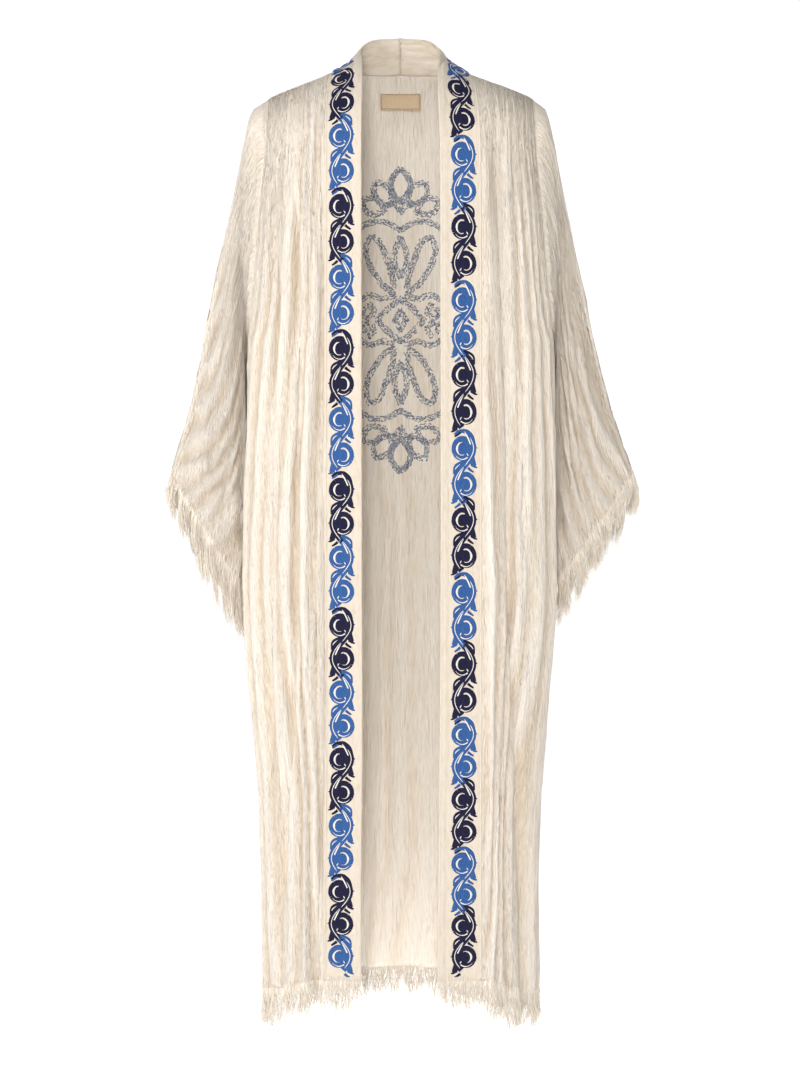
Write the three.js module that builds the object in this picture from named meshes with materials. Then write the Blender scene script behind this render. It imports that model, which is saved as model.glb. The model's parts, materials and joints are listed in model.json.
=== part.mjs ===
// A long kimono robe of crinkled cotton gauze, open down the front, filled out as if worn.
// Millimetres, +Z up. The origin is between the shoulders, at the height of the neck's root.
// The wearer faces -Y, so the wearer's right side (side -1) is at -X and the left (side 1) at +X.
// Every panel is a wall that follows one body form or one sleeve form, and ends at its seams.
import * as THREE from "three";

const { clamp, lerp, smoothstep, degToRad } = THREE.MathUtils;

// ---- Cloth ----
const GAUZE = 1.6; // wall of a single panel
const BAND_CLOTH = 2.6; // the band is folded double
const LABEL_CLOTH = 1;
const SEAM_GAP = 0.36; // between pieces that are sewn together
const SAME_PLACE = 0.05; // points nearer than this meet in one seam

// ---- Body form, by height: half-widths and depths from the centre line of a plan section ----
const CENTRE_Y = 6; // the shoulder ridge and the side seams lie on this line
const SQUARENESS = 3; // power of the plan section's superellipse
const BODY = [
  { z: -60, half: 181, front: 95, back: 95, valley: 0 },
  { z: -120, half: 184, front: 98, back: 95, valley: 0 },
  { z: -220, half: 192, front: 105, back: 94, valley: 0 },
  { z: -290, half: 196, front: 109, back: 92, valley: 0 },
  { z: -362, half: 201, front: 111, back: 90, valley: 5 },
  { z: -450, half: 205, front: 113, back: 88, valley: 20 },
  { z: -560, half: 208, front: 114, back: 87, valley: 26 },
  { z: -700, half: 209, front: 114, back: 87, valley: 26 },
  { z: -850, half: 197, front: 115, back: 88, valley: 20 },
  { z: -1000, half: 185, front: 116, back: 90, valley: 15 },
  { z: -1225, half: 183, front: 117, back: 92, valley: 12 },
];
const NEAR_FULL = 0.98; // a depth is held below this share of the section's, where its edge is flat
const VALLEY_WIDTH = 24; // the fold of spare cloth along each side seam
const KNEE = 0.58; // share of a front's columns on its flat part
const KNEE_AT = 0.81; // where that part ends, as a share of the half-width

// ---- Shoulders ----
const RIDGE = [
  { x: 0, z: 19 },
  { x: 45, z: 13 },
  { x: 76, z: 2.5 },
  { x: 92, z: -7 },
  { x: 106, z: -15 },
  { x: 145, z: -31 },
  { x: 171, z: -43 },
  { x: 185, z: -53 },
];
const ROLL_AT_NECK = 105; // drop over which the cloth turns from the ridge to hanging straight
const ROLL_AT_TIP = 45;
const ROLL_BLEND = { from: 70, to: 185 }; // it changes between these distances from the centre
const SEAM_FORWARD = 8; // degrees that the shoulder seam lies in front of the ridge
const NECK_HALF = 92;
const NECK_DEPTH = 58; // of the half-oval cut out of the back
const REFERENCE_Z = -60;

// ---- Armholes and hem ----
const UNDERARM_Z = -362;
const ARMHOLE_HALF = 44; // half the armhole's depth from front to back
const ARMHOLE_NARROWS = 132; // it narrows over this height above the underarm
const HEM_FRONT = -1193;
const HEM_BACK = -1200;
const HEM_SIDE = { "-1": -1212, 1: -1221 };

// ---- Front bands, along the seam: run 0 is the neck's side, 100 where the cloth hangs straight ----
const BAND = [
  { run: -110, lean: 83, turn: 90, right: 49, left: 49 },
  { run: -73, lean: 72, turn: 35, right: 49, left: 49 },
  { run: -43, lean: 54, turn: 10, right: 49, left: 49 },
  { run: -15, lean: 38, turn: 2, right: 50, left: 50 },
  { run: 9, lean: 30, turn: 2, right: 49, left: 50 },
  { run: 30, lean: 22, turn: 4, right: 48, left: 51 },
  { run: 60, lean: 10, turn: 6, right: 48, left: 53 },
  { run: 100, lean: 2, turn: 7, right: 47.5, left: 54 },
  { run: 700, lean: 0, turn: 7, right: 48, left: 54 },
  { run: 1200, lean: 0, turn: 7, right: 48, left: 58 },
];
const BAND_SEAM = [
  { z: 0, right: 92, left: 92 },
  { z: -25, right: 95, left: 97 },
  { z: -60, right: 97, left: 101 },
  { z: -110, right: 97.5, left: 104 },
  { z: -1225, right: 98, left: 104.5 },
];
const NECK_RUN = 110; // length of a quarter of the neck seam in the BAND table's run
const FRONT_ROLL_RUN = 100; // and of the seam's turn over the shoulder in front
const NECK_TURNS = [90, 81.5, 73, 60, 47, 31, 15]; // degrees round the neck oval, from the centre back

// ---- Sleeves: the fold lines along the top and bottom, and the half-depth between them ----
const SLEEVE = [
  { t: 0, topRight: 185, topLeft: 185, under: 198, puff: 43 },
  { t: 0.04, topRight: 197, topLeft: 192, under: 203, puff: 42 },
  { t: 0.1, topRight: 205, topLeft: 200, under: 205, puff: 41 },
  { t: 0.235, topRight: 218, topLeft: 213, under: 203, puff: 40 },
  { t: 0.473, topRight: 243, topLeft: 237, under: 200, puff: 36 },
  { t: 0.66, topRight: 259, topLeft: 256, under: 200, puff: 33 },
  { t: 0.84, topRight: 280, topLeft: 279, under: 202, puff: 29 },
  { t: 1, topRight: 303, topLeft: 307, under: 208, puff: 24 },
];
const CUFF_TOP_Z = -538;
const CUFF_UNDER_Z = { "-1": -690, 1: -678 };
const SLEEVE_STEPS = [0, 0.04, 0.1, 0.18, 0.28, 0.38, 0.5, 0.62, 0.74, 0.86, 0.95, 1];
const SLEEVE_CENTRE_Y = { root: 6, cuff: 0 };
const SLEEVE_BLEND = 0.14; // share of the length over which the armhole's loop turns into a lens
const SLEEVE_CLEAR = 5; // the sleeve hangs this far outside the body
const SLEEVE_LEAVES = 0.06; // share of the length over which it comes away from the armhole
const SLEEVE_FULLNESS = 0.42; // power of the lens between the fold lines; smaller is fuller
const PUFF_FOR_FOLDS = 30; // a thinner sleeve has shallower folds

// ---- Folds of the body: x at six heights, width and depth; a ridge has a negative depth ----
const FOLD_HEIGHTS = [-100, -300, -500, -700, -900, -1100];
const FOLDS = [
  { face: "front", side: -1, top: -80, end: -960, x: [172, 161, 167, 168, 173, 176], wide: 6, deep: 8 },
  { face: "front", side: -1, top: -130, end: -1140, x: [147, 132, 135, 134, 143, 157], wide: 6, deep: 9 },
  { face: "front", side: -1, top: -50, end: -1300, x: [106, 103, 102, 100, 100, 108], wide: 5, deep: 9 },
  { face: "front", side: -1, top: -170, end: -900, x: [118, 120, 121, 125, 136, 140], wide: 7, deep: -4 },
  { face: "front", side: 1, top: -70, end: -1300, x: [124, 132, 138, 141, 152, 165], wide: 7, deep: 12 },
  { face: "front", side: 1, top: -80, end: -220, x: [149, 155, 155, 155, 155, 155], wide: 5, deep: 6 },
  { face: "front", side: 1, top: -480, end: -680, x: [159, 159, 159, 159, 159, 159], wide: 5, deep: 6 },
  { face: "front", side: 1, top: -120, end: -900, x: [168, 170, 167, 176, 174, 174], wide: 8, deep: -4 },
  { face: "front", side: 1, top: -90, end: -1300, x: [112, 113, 114, 117, 116, 118], wide: 7, deep: -5 },
  { face: "back", side: 1, top: -540, end: -1300, x: [38, 38, 38, 42, 45, 46], wide: 8, deep: 6 },
  { face: "back", side: -1, top: -180, end: -1300, x: [24, 20, 18, 22, 26, 30], wide: 9, deep: 5 },
  { face: "back", side: 1, top: -90, end: -1150, x: [84, 80, 78, 82, 88, 92], wide: 9, deep: 8 },
  { face: "back", side: -1, top: -110, end: -1300, x: [90, 84, 80, 78, 80, 84], wide: 9, deep: 9 },
  { face: "back", side: 1, top: -130, end: -1300, x: [132, 126, 124, 126, 132, 140], wide: 8, deep: 10 },
  { face: "back", side: -1, top: -80, end: -1060, x: [140, 134, 130, 132, 138, 142], wide: 8, deep: 9 },
];
const FOLD_FADE = 90; // a fold fades in and out over this height
const SLEEVE_FADE = 63; // and a sleeve's fold over this length

// ---- Folds of the sleeves: straight runs in the front view, from (x, z) to (x, z) ----
const SLEEVE_FOLDS = [
  { face: "front", side: -1, from: [209, -220], to: [208, -640], wide: 7, deep: 13 },
  { face: "front", side: -1, from: [216, -320], to: [249, -417], wide: 9, deep: -7 },
  { face: "front", side: -1, from: [249, -417], to: [268, -590], wide: 10, deep: -8 },
  { face: "front", side: -1, from: [232, -310], to: [284, -540], wide: 8, deep: 6 },
  { face: "front", side: -1, from: [216, -440], to: [238, -620], wide: 9, deep: 7 },
  { face: "front", side: 1, from: [210, -110], to: [209, -640], wide: 7, deep: 14 },
  { face: "front", side: 1, from: [240, -330], to: [260, -560], wide: 10, deep: -8 },
  { face: "front", side: 1, from: [226, -300], to: [238, -600], wide: 8, deep: 7 },
  { face: "front", side: 1, from: [250, -350], to: [284, -520], wide: 8, deep: 5 },
  { face: "back", side: -1, from: [209, -240], to: [212, -640], wide: 8, deep: 6 },
  { face: "back", side: -1, from: [236, -340], to: [264, -570], wide: 10, deep: 5 },
  { face: "back", side: 1, from: [209, -200], to: [213, -630], wide: 8, deep: 11 },
  { face: "back", side: 1, from: [234, -320], to: [266, -560], wide: 10, deep: 7 },
];

// ---- Fringe: locks of thread under a narrow heading strip ----
const HEADING = 3; // height of the strip
const FRINGE_GAP = 0.45; // from the cloth's edge to the strip
const FRINGE = {
  hem: { length: 31, pitch: 8 },
  cuff: { length: 42, pitch: 14 },
};
const LOCK_NECK = 0.22; // share of a lock's length where it has narrowed
const LOCK_WIDTH = 0.42; // its width there, as a share of its root
const LOCK_UNEVEN = 0.1; // how much the lengths differ, as a share
const LOCK_LEAN = 0.08; // how far a lock leans along the edge, as a share of its length

const LABEL = { half: 27, top: -25, bottom: -47.5, gap: 0.5, columns: 2 };

const COTTON = { color: 0xf0e8da, roughness: 0.95, metalness: 0 };
const BAND_COTTON = { color: 0xece2d0, roughness: 0.92, metalness: 0 };
const LABEL_WEAVE = { color: 0xdec4a0, roughness: 0.85, metalness: 0 };

// ================= Reading tables =================

// A smooth value of one column of a table, whose rows are in order of a key.
function read(table, key, column, at) {
  const last = table.length - 1;
  const sign = Math.sign(table[last][key] - table[0][key]);
  if ((at - table[0][key]) * sign <= 0) return table[0][column];
  if ((at - table[last][key]) * sign >= 0) return table[last][column];
  let i = 0;
  while ((at - table[i + 1][key]) * sign > 0) i += 1;
  const slope = (j) => {
    const a = table[Math.max(j - 1, 0)];
    const b = table[Math.min(j + 1, last)];
    return (b[column] - a[column]) / (b[key] - a[key]);
  };
  const span = table[i + 1][key] - table[i][key];
  const s = (at - table[i][key]) / span;
  const rise = s * s * (3 - 2 * s);
  const leave = s * (1 - s) * (1 - s) * span * slope(i);
  const arrive = s * s * (1 - s) * span * slope(i + 1);
  return lerp(table[i][column], table[i + 1][column], rise) + leave - arrive;
}

const named = (side, right, left) => (side < 0 ? right : left);

// The greater of two values, with the corner between them rounded.
function softMax(a, b, round) {
  const overlap = Math.max(round - Math.abs(a - b), 0);
  return Math.max(a, b) + (round > 0 ? (overlap * overlap) / (4 * round) : 0);
}

// ================= Body form =================

// A plan section's superellipse: how far out it is at a given depth, or how deep at a given width.
const conjugate = (value, along, across) =>
  across * (1 - (value / along) ** SQUARENESS) ** (1 / SQUARENESS);

// A share of a quarter section is measured along the rectangle round it: 0 centre, 1 side seam.
function shareOf(out, deep, half, depth) {
  const wide = (out * depth) / deep;
  if (wide <= half) return wide / (half + depth);
  return (half + depth - (half * deep) / out) / (half + depth);
}

function quarterPoint(share, half, depth) {
  const run = share * (half + depth);
  const angle = Math.atan2(depth - Math.max(run - half, 0), Math.min(run, half));
  const cos = Math.cos(angle);
  const sin = Math.sin(angle);
  const reach =
    (Math.abs(cos / half) ** SQUARENESS + Math.abs(sin / depth) ** SQUARENESS) ** (-1 / SQUARENESS);
  return { out: reach * cos, deep: reach * sin };
}

function armholeDepth(z) {
  const low = clamp((UNDERARM_Z + ARMHOLE_NARROWS - z) / ARMHOLE_NARROWS, 0, 1);
  return ARMHOLE_HALF * Math.sqrt(1 - low * low);
}

// The body's half-width at a depth, which the sleeves stay outside.
function bodyHalfWidth(y, z) {
  const depth = read(BODY, "z", y < CENTRE_Y ? "front" : "back", z);
  const half = read(BODY, "z", "half", z);
  const deep = Math.min(Math.abs(y - CENTRE_Y), depth * NEAR_FULL);
  const fold = read(BODY, "z", "valley", z) * Math.exp(-((deep / VALLEY_WIDTH) ** 2));
  return conjugate(deep, depth, half) - fold;
}

function foldDepth(face, side, x, z) {
  let sum = 0;
  for (const fold of FOLDS) {
    if (fold.face !== face || fold.side !== side) continue;
    const rows = FOLD_HEIGHTS.map((height, i) => ({ z: height, x: fold.x[i] }));
    const off = (x - read(rows, "z", "x", z)) / fold.wide;
    const fadeIn = smoothstep(fold.top - z, 0, FOLD_FADE);
    const fadeOut = smoothstep(z - fold.end, 0, FOLD_FADE);
    sum += fold.deep * Math.exp(-off * off) * fadeIn * fadeOut;
  }
  return sum;
}

// Share of the section at a column: across -1..0 runs behind the neck, 0..1 from band to side.
function columnShare(side, across, z, half, depth) {
  const seam = read(BAND_SEAM, "z", named(side, "right", "left"), z);
  const atSeam = shareOf(seam, conjugate(seam, half, depth), half, depth);
  if (across < 0) return atSeam * (1 + across);
  const knee = KNEE_AT * half;
  const atKnee = shareOf(knee, conjugate(knee, half, depth), half, depth);
  const edge = armholeDepth(z);
  const atEdge = shareOf(conjugate(edge, depth, half), edge, half, depth);
  if (across < KNEE) return lerp(atSeam, atKnee, across / KNEE);
  return lerp(atKnee, atEdge, (across - KNEE) / (1 - KNEE));
}

function sectionPoint(face, side, across, z) {
  const half = read(BODY, "z", "half", z);
  const depth = read(BODY, "z", face, z);
  const point = quarterPoint(columnShare(side, across, z, half, depth), half, depth);
  const slopeOut = (point.out / half) ** (SQUARENESS - 1) / half;
  const slopeDeep = (point.deep / depth) ** (SQUARENESS - 1) / depth;
  const length = Math.hypot(slopeOut, slopeDeep);
  const valley = read(BODY, "z", "valley", z) * Math.exp(-((point.deep / VALLEY_WIDTH) ** 2));
  return { ...point, valley, normal: [slopeOut / length, slopeDeep / length] };
}

function shoulderAt(side, across) {
  const out = sectionPoint("back", side, across, REFERENCE_Z).out;
  const near = smoothstep(out, ROLL_BLEND.from, ROLL_BLEND.to);
  return { ridge: read(RIDGE, "x", "z", out), roll: lerp(ROLL_AT_NECK, ROLL_AT_TIP, near) };
}

function hemZ(face, side, across) {
  const centre = face === "front" ? HEM_FRONT : HEM_BACK;
  const share = face === "front" ? across : (across + 1) / 2;
  return lerp(centre, HEM_SIDE[side], smoothstep(share, 0, 1));
}

// A point of the body: turn is degrees over the shoulder, negative in front; fall 0..1 is the drop.
function bodyPoint(face, side, across, turn, fall = 0) {
  const { ridge, roll } = shoulderAt(side, across);
  const angle = degToRad(turn);
  const rolled = ridge - roll * (1 - Math.cos(angle));
  const z = fall > 0 ? lerp(ridge - roll, hemZ(face, side, across), fall) : rolled;
  const front = face === "front" || turn < 0;
  const point = sectionPoint(front ? "front" : "back", side, across, z);
  const lift = fall > 0 ? 1 : Math.abs(Math.sin(angle));
  const pressed = foldDepth(face, side, point.out, z) * lift * lift;
  const out = point.out - point.valley - pressed * point.normal[0];
  const deep = (point.deep - pressed * point.normal[1]) * lift;
  return new THREE.Vector3(side * out, CENTRE_Y + (front ? -deep : deep), z);
}

// ================= Rows and columns =================

const ROLL_STEPS = 5;
const FALL_TO_UNDERARM = [0.2, 0.41, 0.615, 0.785, 0.91, 0.978, 1];
const FALL_TO_HEM = 8;
const FRONT_COLUMNS = 24;

// Every panel has the same rows, so that two panels meet point to point along a seam.
function rowsOf(face, side, across, startTurn) {
  const rows = [];
  for (let i = 0; i <= ROLL_STEPS; i += 1) {
    rows.push(bodyPoint(face, side, across, lerp(startTurn, 90, i / ROLL_STEPS)));
  }
  const { ridge, roll } = shoulderAt(side, 1);
  const underarm = (ridge - roll - UNDERARM_Z) / (ridge - roll - HEM_SIDE[side]);
  for (const share of FALL_TO_UNDERARM) {
    rows.push(bodyPoint(face, side, across, 90, underarm * share));
  }
  for (let i = 1; i <= FALL_TO_HEM; i += 1) {
    rows.push(bodyPoint(face, side, across, 90, lerp(underarm, 1, i / FALL_TO_HEM)));
  }
  return rows;
}

const UNDERARM_ROW = ROLL_STEPS + FALL_TO_UNDERARM.length;

const byRows = (columns) => columns[0].map((_, row) => columns.map((column) => column[row]));

// A front: columns from the band's seam to the side.
function frontGrid(side) {
  const columns = [];
  for (let i = 0; i <= FRONT_COLUMNS; i += 1) {
    columns.push(rowsOf("front", side, i / FRONT_COLUMNS, SEAM_FORWARD));
  }
  return byRows(columns);
}

// The point of the shoulder roll where the neck's oval crosses a column of the back.
function neckTurn(side, across) {
  const out = NECK_HALF * (1 + across);
  const reach = NECK_DEPTH * Math.sqrt(Math.max(1 - (out / NECK_HALF) ** 2, 0));
  const deep = sectionPoint("back", side, across, REFERENCE_Z).deep;
  return THREE.MathUtils.radToDeg(Math.asin(reach / deep));
}

// Half of the back: columns from the centre to the side, starting round the neck.
function halfBack(side) {
  const columns = [];
  for (const turn of NECK_TURNS) {
    const across = Math.cos(degToRad(turn)) - 1;
    columns.push(rowsOf("back", side, across, neckTurn(side, across)));
  }
  for (let i = 0; i <= FRONT_COLUMNS; i += 2) {
    columns.push(rowsOf("back", side, i / FRONT_COLUMNS, -SEAM_FORWARD));
  }
  return columns;
}

const backHalves = { "-1": halfBack(-1), 1: halfBack(1) };
const backGrid = byRows([...backHalves[-1].slice(1).reverse(), ...backHalves[1]]);
const frontGrids = { "-1": frontGrid(-1), 1: frontGrid(1) };

// ================= Bands =================

// The band's seam: round the neck from the centre back, then down the front's inner edge.
function bandSeam(side) {
  const neck = NECK_TURNS.map((turn, i) => ({ at: backHalves[side][i][0], run: (-turn / 90) * NECK_RUN }));
  const front = frontGrids[side].map((row) => row[0]);
  const hanging = front[ROLL_STEPS].z;
  const down = front.map((at, i) => {
    const turn = lerp(SEAM_FORWARD, 90, i / ROLL_STEPS);
    const rolled = (turn / 90) * FRONT_ROLL_RUN;
    return { at, run: i <= ROLL_STEPS ? rolled : FRONT_ROLL_RUN + hanging - at.z };
  });
  return [...neck, ...down];
}

const BAND_COLUMNS = 3;

function bandGrid(side) {
  return bandSeam(side).map(({ at, run }) => {
    const lean = degToRad(read(BAND, "run", "lean", run));
    const turn = degToRad(read(BAND, "run", "turn", run));
    const width = read(BAND, "run", named(side, "right", "left"), run);
    const inward = new THREE.Vector3(-side * Math.cos(turn), -Math.sin(turn), 0);
    const across = inward.multiplyScalar(Math.cos(lean)).add(new THREE.Vector3(0, 0, Math.sin(lean)));
    const row = [];
    for (let i = 0; i <= BAND_COLUMNS; i += 1) {
      row.push(at.clone().addScaledVector(across, (width * i) / BAND_COLUMNS));
    }
    return row;
  });
}

// ================= Sleeves =================

function sleeveFoldDepth(face, side, x, z) {
  let sum = 0;
  for (const fold of SLEEVE_FOLDS) {
    if (fold.face !== face || fold.side !== side) continue;
    const [x0, z0] = fold.from;
    const run = [fold.to[0] - x0, fold.to[1] - z0];
    const length = Math.hypot(...run);
    const along = ((x - x0) * run[0] + (z - z0) * run[1]) / length;
    const off = ((x - x0) * run[1] - (z - z0) * run[0]) / length / fold.wide;
    const fade = smoothstep(along, 0, SLEEVE_FADE) * smoothstep(length - along, 0, SLEEVE_FADE);
    sum += fold.deep * Math.exp(-off * off) * fade;
  }
  return sum;
}

// The armhole's loop, from the underarm up the front, over the shoulder and down the back.
function armholeLoop(side) {
  const front = frontGrids[side].map((row) => row[FRONT_COLUMNS]);
  const back = backHalves[side].at(-1);
  const upFront = front.slice(0, UNDERARM_ROW + 1).reverse();
  const downBack = back.slice(1, UNDERARM_ROW);
  return [
    ...upFront.map((point) => ({ point, face: "front" })),
    ...downBack.map((point) => ({ point, face: "back" })),
  ];
}

// A point of the sleeve: t along it, station round it.
function sleevePoint(side, station, t) {
  const { point, face } = station;
  const tip = shoulderAt(side, 1).ridge;
  const chord = clamp((tip - point.z) / (tip - UNDERARM_Z), 0, 1);
  const top = read(SLEEVE, "t", named(side, "topRight", "topLeft"), t);
  const under = read(SLEEVE, "t", "under", t);
  const x = lerp(top, under, chord);
  const z = lerp(
    lerp(tip, CUFF_TOP_Z, t),
    lerp(UNDERARM_Z, CUFF_UNDER_Z[side], t),
    chord,
  );
  const puff = read(SLEEVE, "t", "puff", t) * (4 * chord * (1 - chord)) ** SLEEVE_FULLNESS;
  const pressed = sleeveFoldDepth(face, side, x, z) * Math.min(puff / PUFF_FOR_FOLDS, 1);
  const away = face === "front" ? -1 : 1;
  const centre = lerp(SLEEVE_CENTRE_Y.root, SLEEVE_CENTRE_Y.cuff, t);
  const blend = smoothstep(t, 0, SLEEVE_BLEND);
  const y = lerp(point.y, centre + away * (puff - pressed), blend);
  const level = lerp(point.z, z, blend);
  const leave = smoothstep(t, 0, SLEEVE_LEAVES);
  const body = bodyHalfWidth(y, level) + SLEEVE_CLEAR * leave;
  const out = softMax(lerp(Math.abs(point.x), x, blend), body, SLEEVE_CLEAR * leave);
  return new THREE.Vector3(side * out, y, level);
}

function sleeveGrid(side) {
  const loop = armholeLoop(side);
  return SLEEVE_STEPS.map((t) =>
    loop.map((station) => (t === 0 ? station.point.clone() : sleevePoint(side, station, t))),
  );
}

// ================= Walls =================

// A piece is a grid of points, the unit normals into its wall, and whether its columns close.
function piece(name, grid, { thick = GAUZE, closed = false, look = COTTON, inside }) {
  const points = grid.map((row) => row.map((point) => point.clone()));
  const columns = points[0].length;
  const pick = (i, j) => {
    const column = closed ? (j + columns) % columns : clamp(j, 0, columns - 1);
    return points[clamp(i, 0, points.length - 1)][column];
  };
  let facing = 0;
  const normals = points.map((row, i) =>
    row.map((point, j) => {
      const down = pick(i + 1, j).clone().sub(pick(i - 1, j));
      const across = pick(i, j + 1).clone().sub(pick(i, j - 1));
      const normal = down.cross(across).normalize();
      facing += normal.dot(inside(point));
      return normal;
    }),
  );
  normals.flat().forEach((normal) => normal.multiplyScalar(Math.sign(facing)));
  return { name, points, normals, thick, closed, look };
}

const isEdge = (item, i, j) =>
  i === 0 ||
  i === item.points.length - 1 ||
  (!item.closed && (j === 0 || j === item.points[0].length - 1));

// Pieces that meet at a point share the mean of their normals there, so the walls meet in a mitre.
function shareSeamNormals(items) {
  const met = new Map();
  const keyOf = (point) => point.toArray().map((value) => Math.round(value / SAME_PLACE)).join();
  const visit = (act) => {
    for (const item of items) {
      item.points.forEach((row, i) =>
        row.forEach((point, j) => {
          if (isEdge(item, i, j)) act(keyOf(point), item.normals[i][j]);
        }),
      );
    }
  };
  visit((key, normal) => {
    if (!met.has(key)) met.set(key, new THREE.Vector3());
    met.get(key).add(normal);
  });
  visit((key, normal) => normal.copy(met.get(key)).normalize());
}

// Each piece ends half a seam gap short of the seam's line, square to the line.
function setBack(item) {
  const rows = item.points.length - 1;
  const columns = item.points[0].length - 1;
  const before = item.points.map((row) => row.map((point) => point.clone()));
  const columnAt = (j) => (item.closed ? (j + columns + 1) % (columns + 1) : clamp(j, 0, columns));
  const at = (i, j) => before[clamp(i, 0, rows)][columnAt(j)];
  const move = (i, j, inner, previous, next) => {
    const line = next.clone().sub(previous).normalize();
    const step = inner.clone().sub(at(i, j));
    step.addScaledVector(line, -step.dot(line)).setLength(SEAM_GAP / 2);
    item.points[i][j].add(step);
  };
  for (let j = 0; j <= columns; j += 1) {
    move(0, j, at(1, j), at(0, j - 1), at(0, j + 1));
    move(rows, j, at(rows - 1, j), at(rows, j - 1), at(rows, j + 1));
  }
  if (item.closed) return;
  for (let i = 0; i <= rows; i += 1) {
    move(i, 0, at(i, 1), at(i - 1, 0), at(i + 1, 0));
    move(i, columns, at(i, columns - 1), at(i - 1, columns), at(i + 1, columns));
  }
}

// One half of a closed piece, from one of its columns round to another.
function halfOf(item, name, from, to) {
  const take = (grid) =>
    grid.map((row) => {
      const round = [...row, row[0]];
      return round.slice(from, to + 1).map((vector) => vector.clone());
    });
  return { ...item, name, points: take(item.points), normals: take(item.normals), closed: false };
}

class Triangles {
  constructor() {
    this.list = [];
  }
  quad(a, b, c, d) {
    this.list.push(a, b, c, a, c, d);
  }
  // A closed mesh, with its faces turned outwards.
  geometry() {
    const volume = new THREE.Vector3();
    let sum = 0;
    for (let i = 0; i < this.list.length; i += 3) {
      volume.crossVectors(this.list[i + 1], this.list[i + 2]);
      sum += this.list[i].dot(volume);
    }
    if (sum < 0) {
      for (let i = 0; i < this.list.length; i += 3) {
        [this.list[i + 1], this.list[i + 2]] = [this.list[i + 2], this.list[i + 1]];
      }
    }
    const flat = new Float32Array(this.list.flatMap((point) => point.toArray()));
    const made = new THREE.BufferGeometry();
    made.setAttribute("position", new THREE.BufferAttribute(flat, 3));
    made.computeVertexNormals();
    return made;
  }
}

const innerOf = (item) =>
  item.points.map((row, i) =>
    row.map((point, j) => point.clone().addScaledVector(item.normals[i][j], item.thick)),
  );

function wallGeometry(item) {
  const outer = item.points;
  const inner = innerOf(item);
  const rows = outer.length - 1;
  const columns = outer[0].length;
  const cells = item.closed ? columns : columns - 1;
  const made = new Triangles();
  for (let j = 0; j < cells; j += 1) {
    const k = (j + 1) % columns;
    for (let i = 0; i < rows; i += 1) {
      made.quad(outer[i][j], outer[i][k], outer[i + 1][k], outer[i + 1][j]);
      made.quad(inner[i][j], inner[i + 1][j], inner[i + 1][k], inner[i][k]);
    }
    made.quad(outer[0][j], inner[0][j], inner[0][k], outer[0][k]);
    made.quad(outer[rows][j], outer[rows][k], inner[rows][k], inner[rows][j]);
  }
  for (let i = 0; i < rows && !item.closed; i += 1) {
    const last = columns - 1;
    made.quad(outer[i][0], outer[i + 1][0], inner[i + 1][0], inner[i][0]);
    made.quad(outer[i][last], inner[i][last], inner[i + 1][last], outer[i + 1][last]);
  }
  return made.geometry();
}

// ================= Fringe =================

// A line of points split to a pitch; each has a place, an inward normal and a direction down.
function spaced(line, pitch, closed) {
  const stops = closed ? [...line, line[0]] : line;
  const made = [stops[0]];
  for (let i = 1; i < stops.length; i += 1) {
    const [a, b] = [stops[i - 1], stops[i]];
    const parts = Math.max(Math.round(a.at.distanceTo(b.at) / pitch), 1);
    for (let n = 1; n <= parts; n += 1) {
      const mix = (key) => a[key].clone().lerp(b[key], n / parts);
      made.push({ at: mix("at"), into: mix("into").normalize(), down: mix("down").normalize() });
    }
  }
  return closed ? made.slice(0, -1) : made;
}

// The hanging edge of one or more pieces, one after another, as a line for the fringe.
function hangingEdge(items) {
  return items.flatMap(({ item, reversed }) => {
    const rows = item.points.length;
    const line = item.points[rows - 1].map((at, j) => ({
      at,
      into: item.normals[rows - 1][j],
      down: at.clone().sub(item.points[rows - 2][j]).normalize(),
    }));
    return reversed ? line.reverse() : line;
  });
}

// Locks of a fringe differ a little in length and lean, by a fixed rule.
const uneven = (n, seed) => Math.sin(n * 12.9898 + seed * 78.233) * 0.5 + Math.sin(n * 4.1414 + seed) * 0.5;

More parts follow.
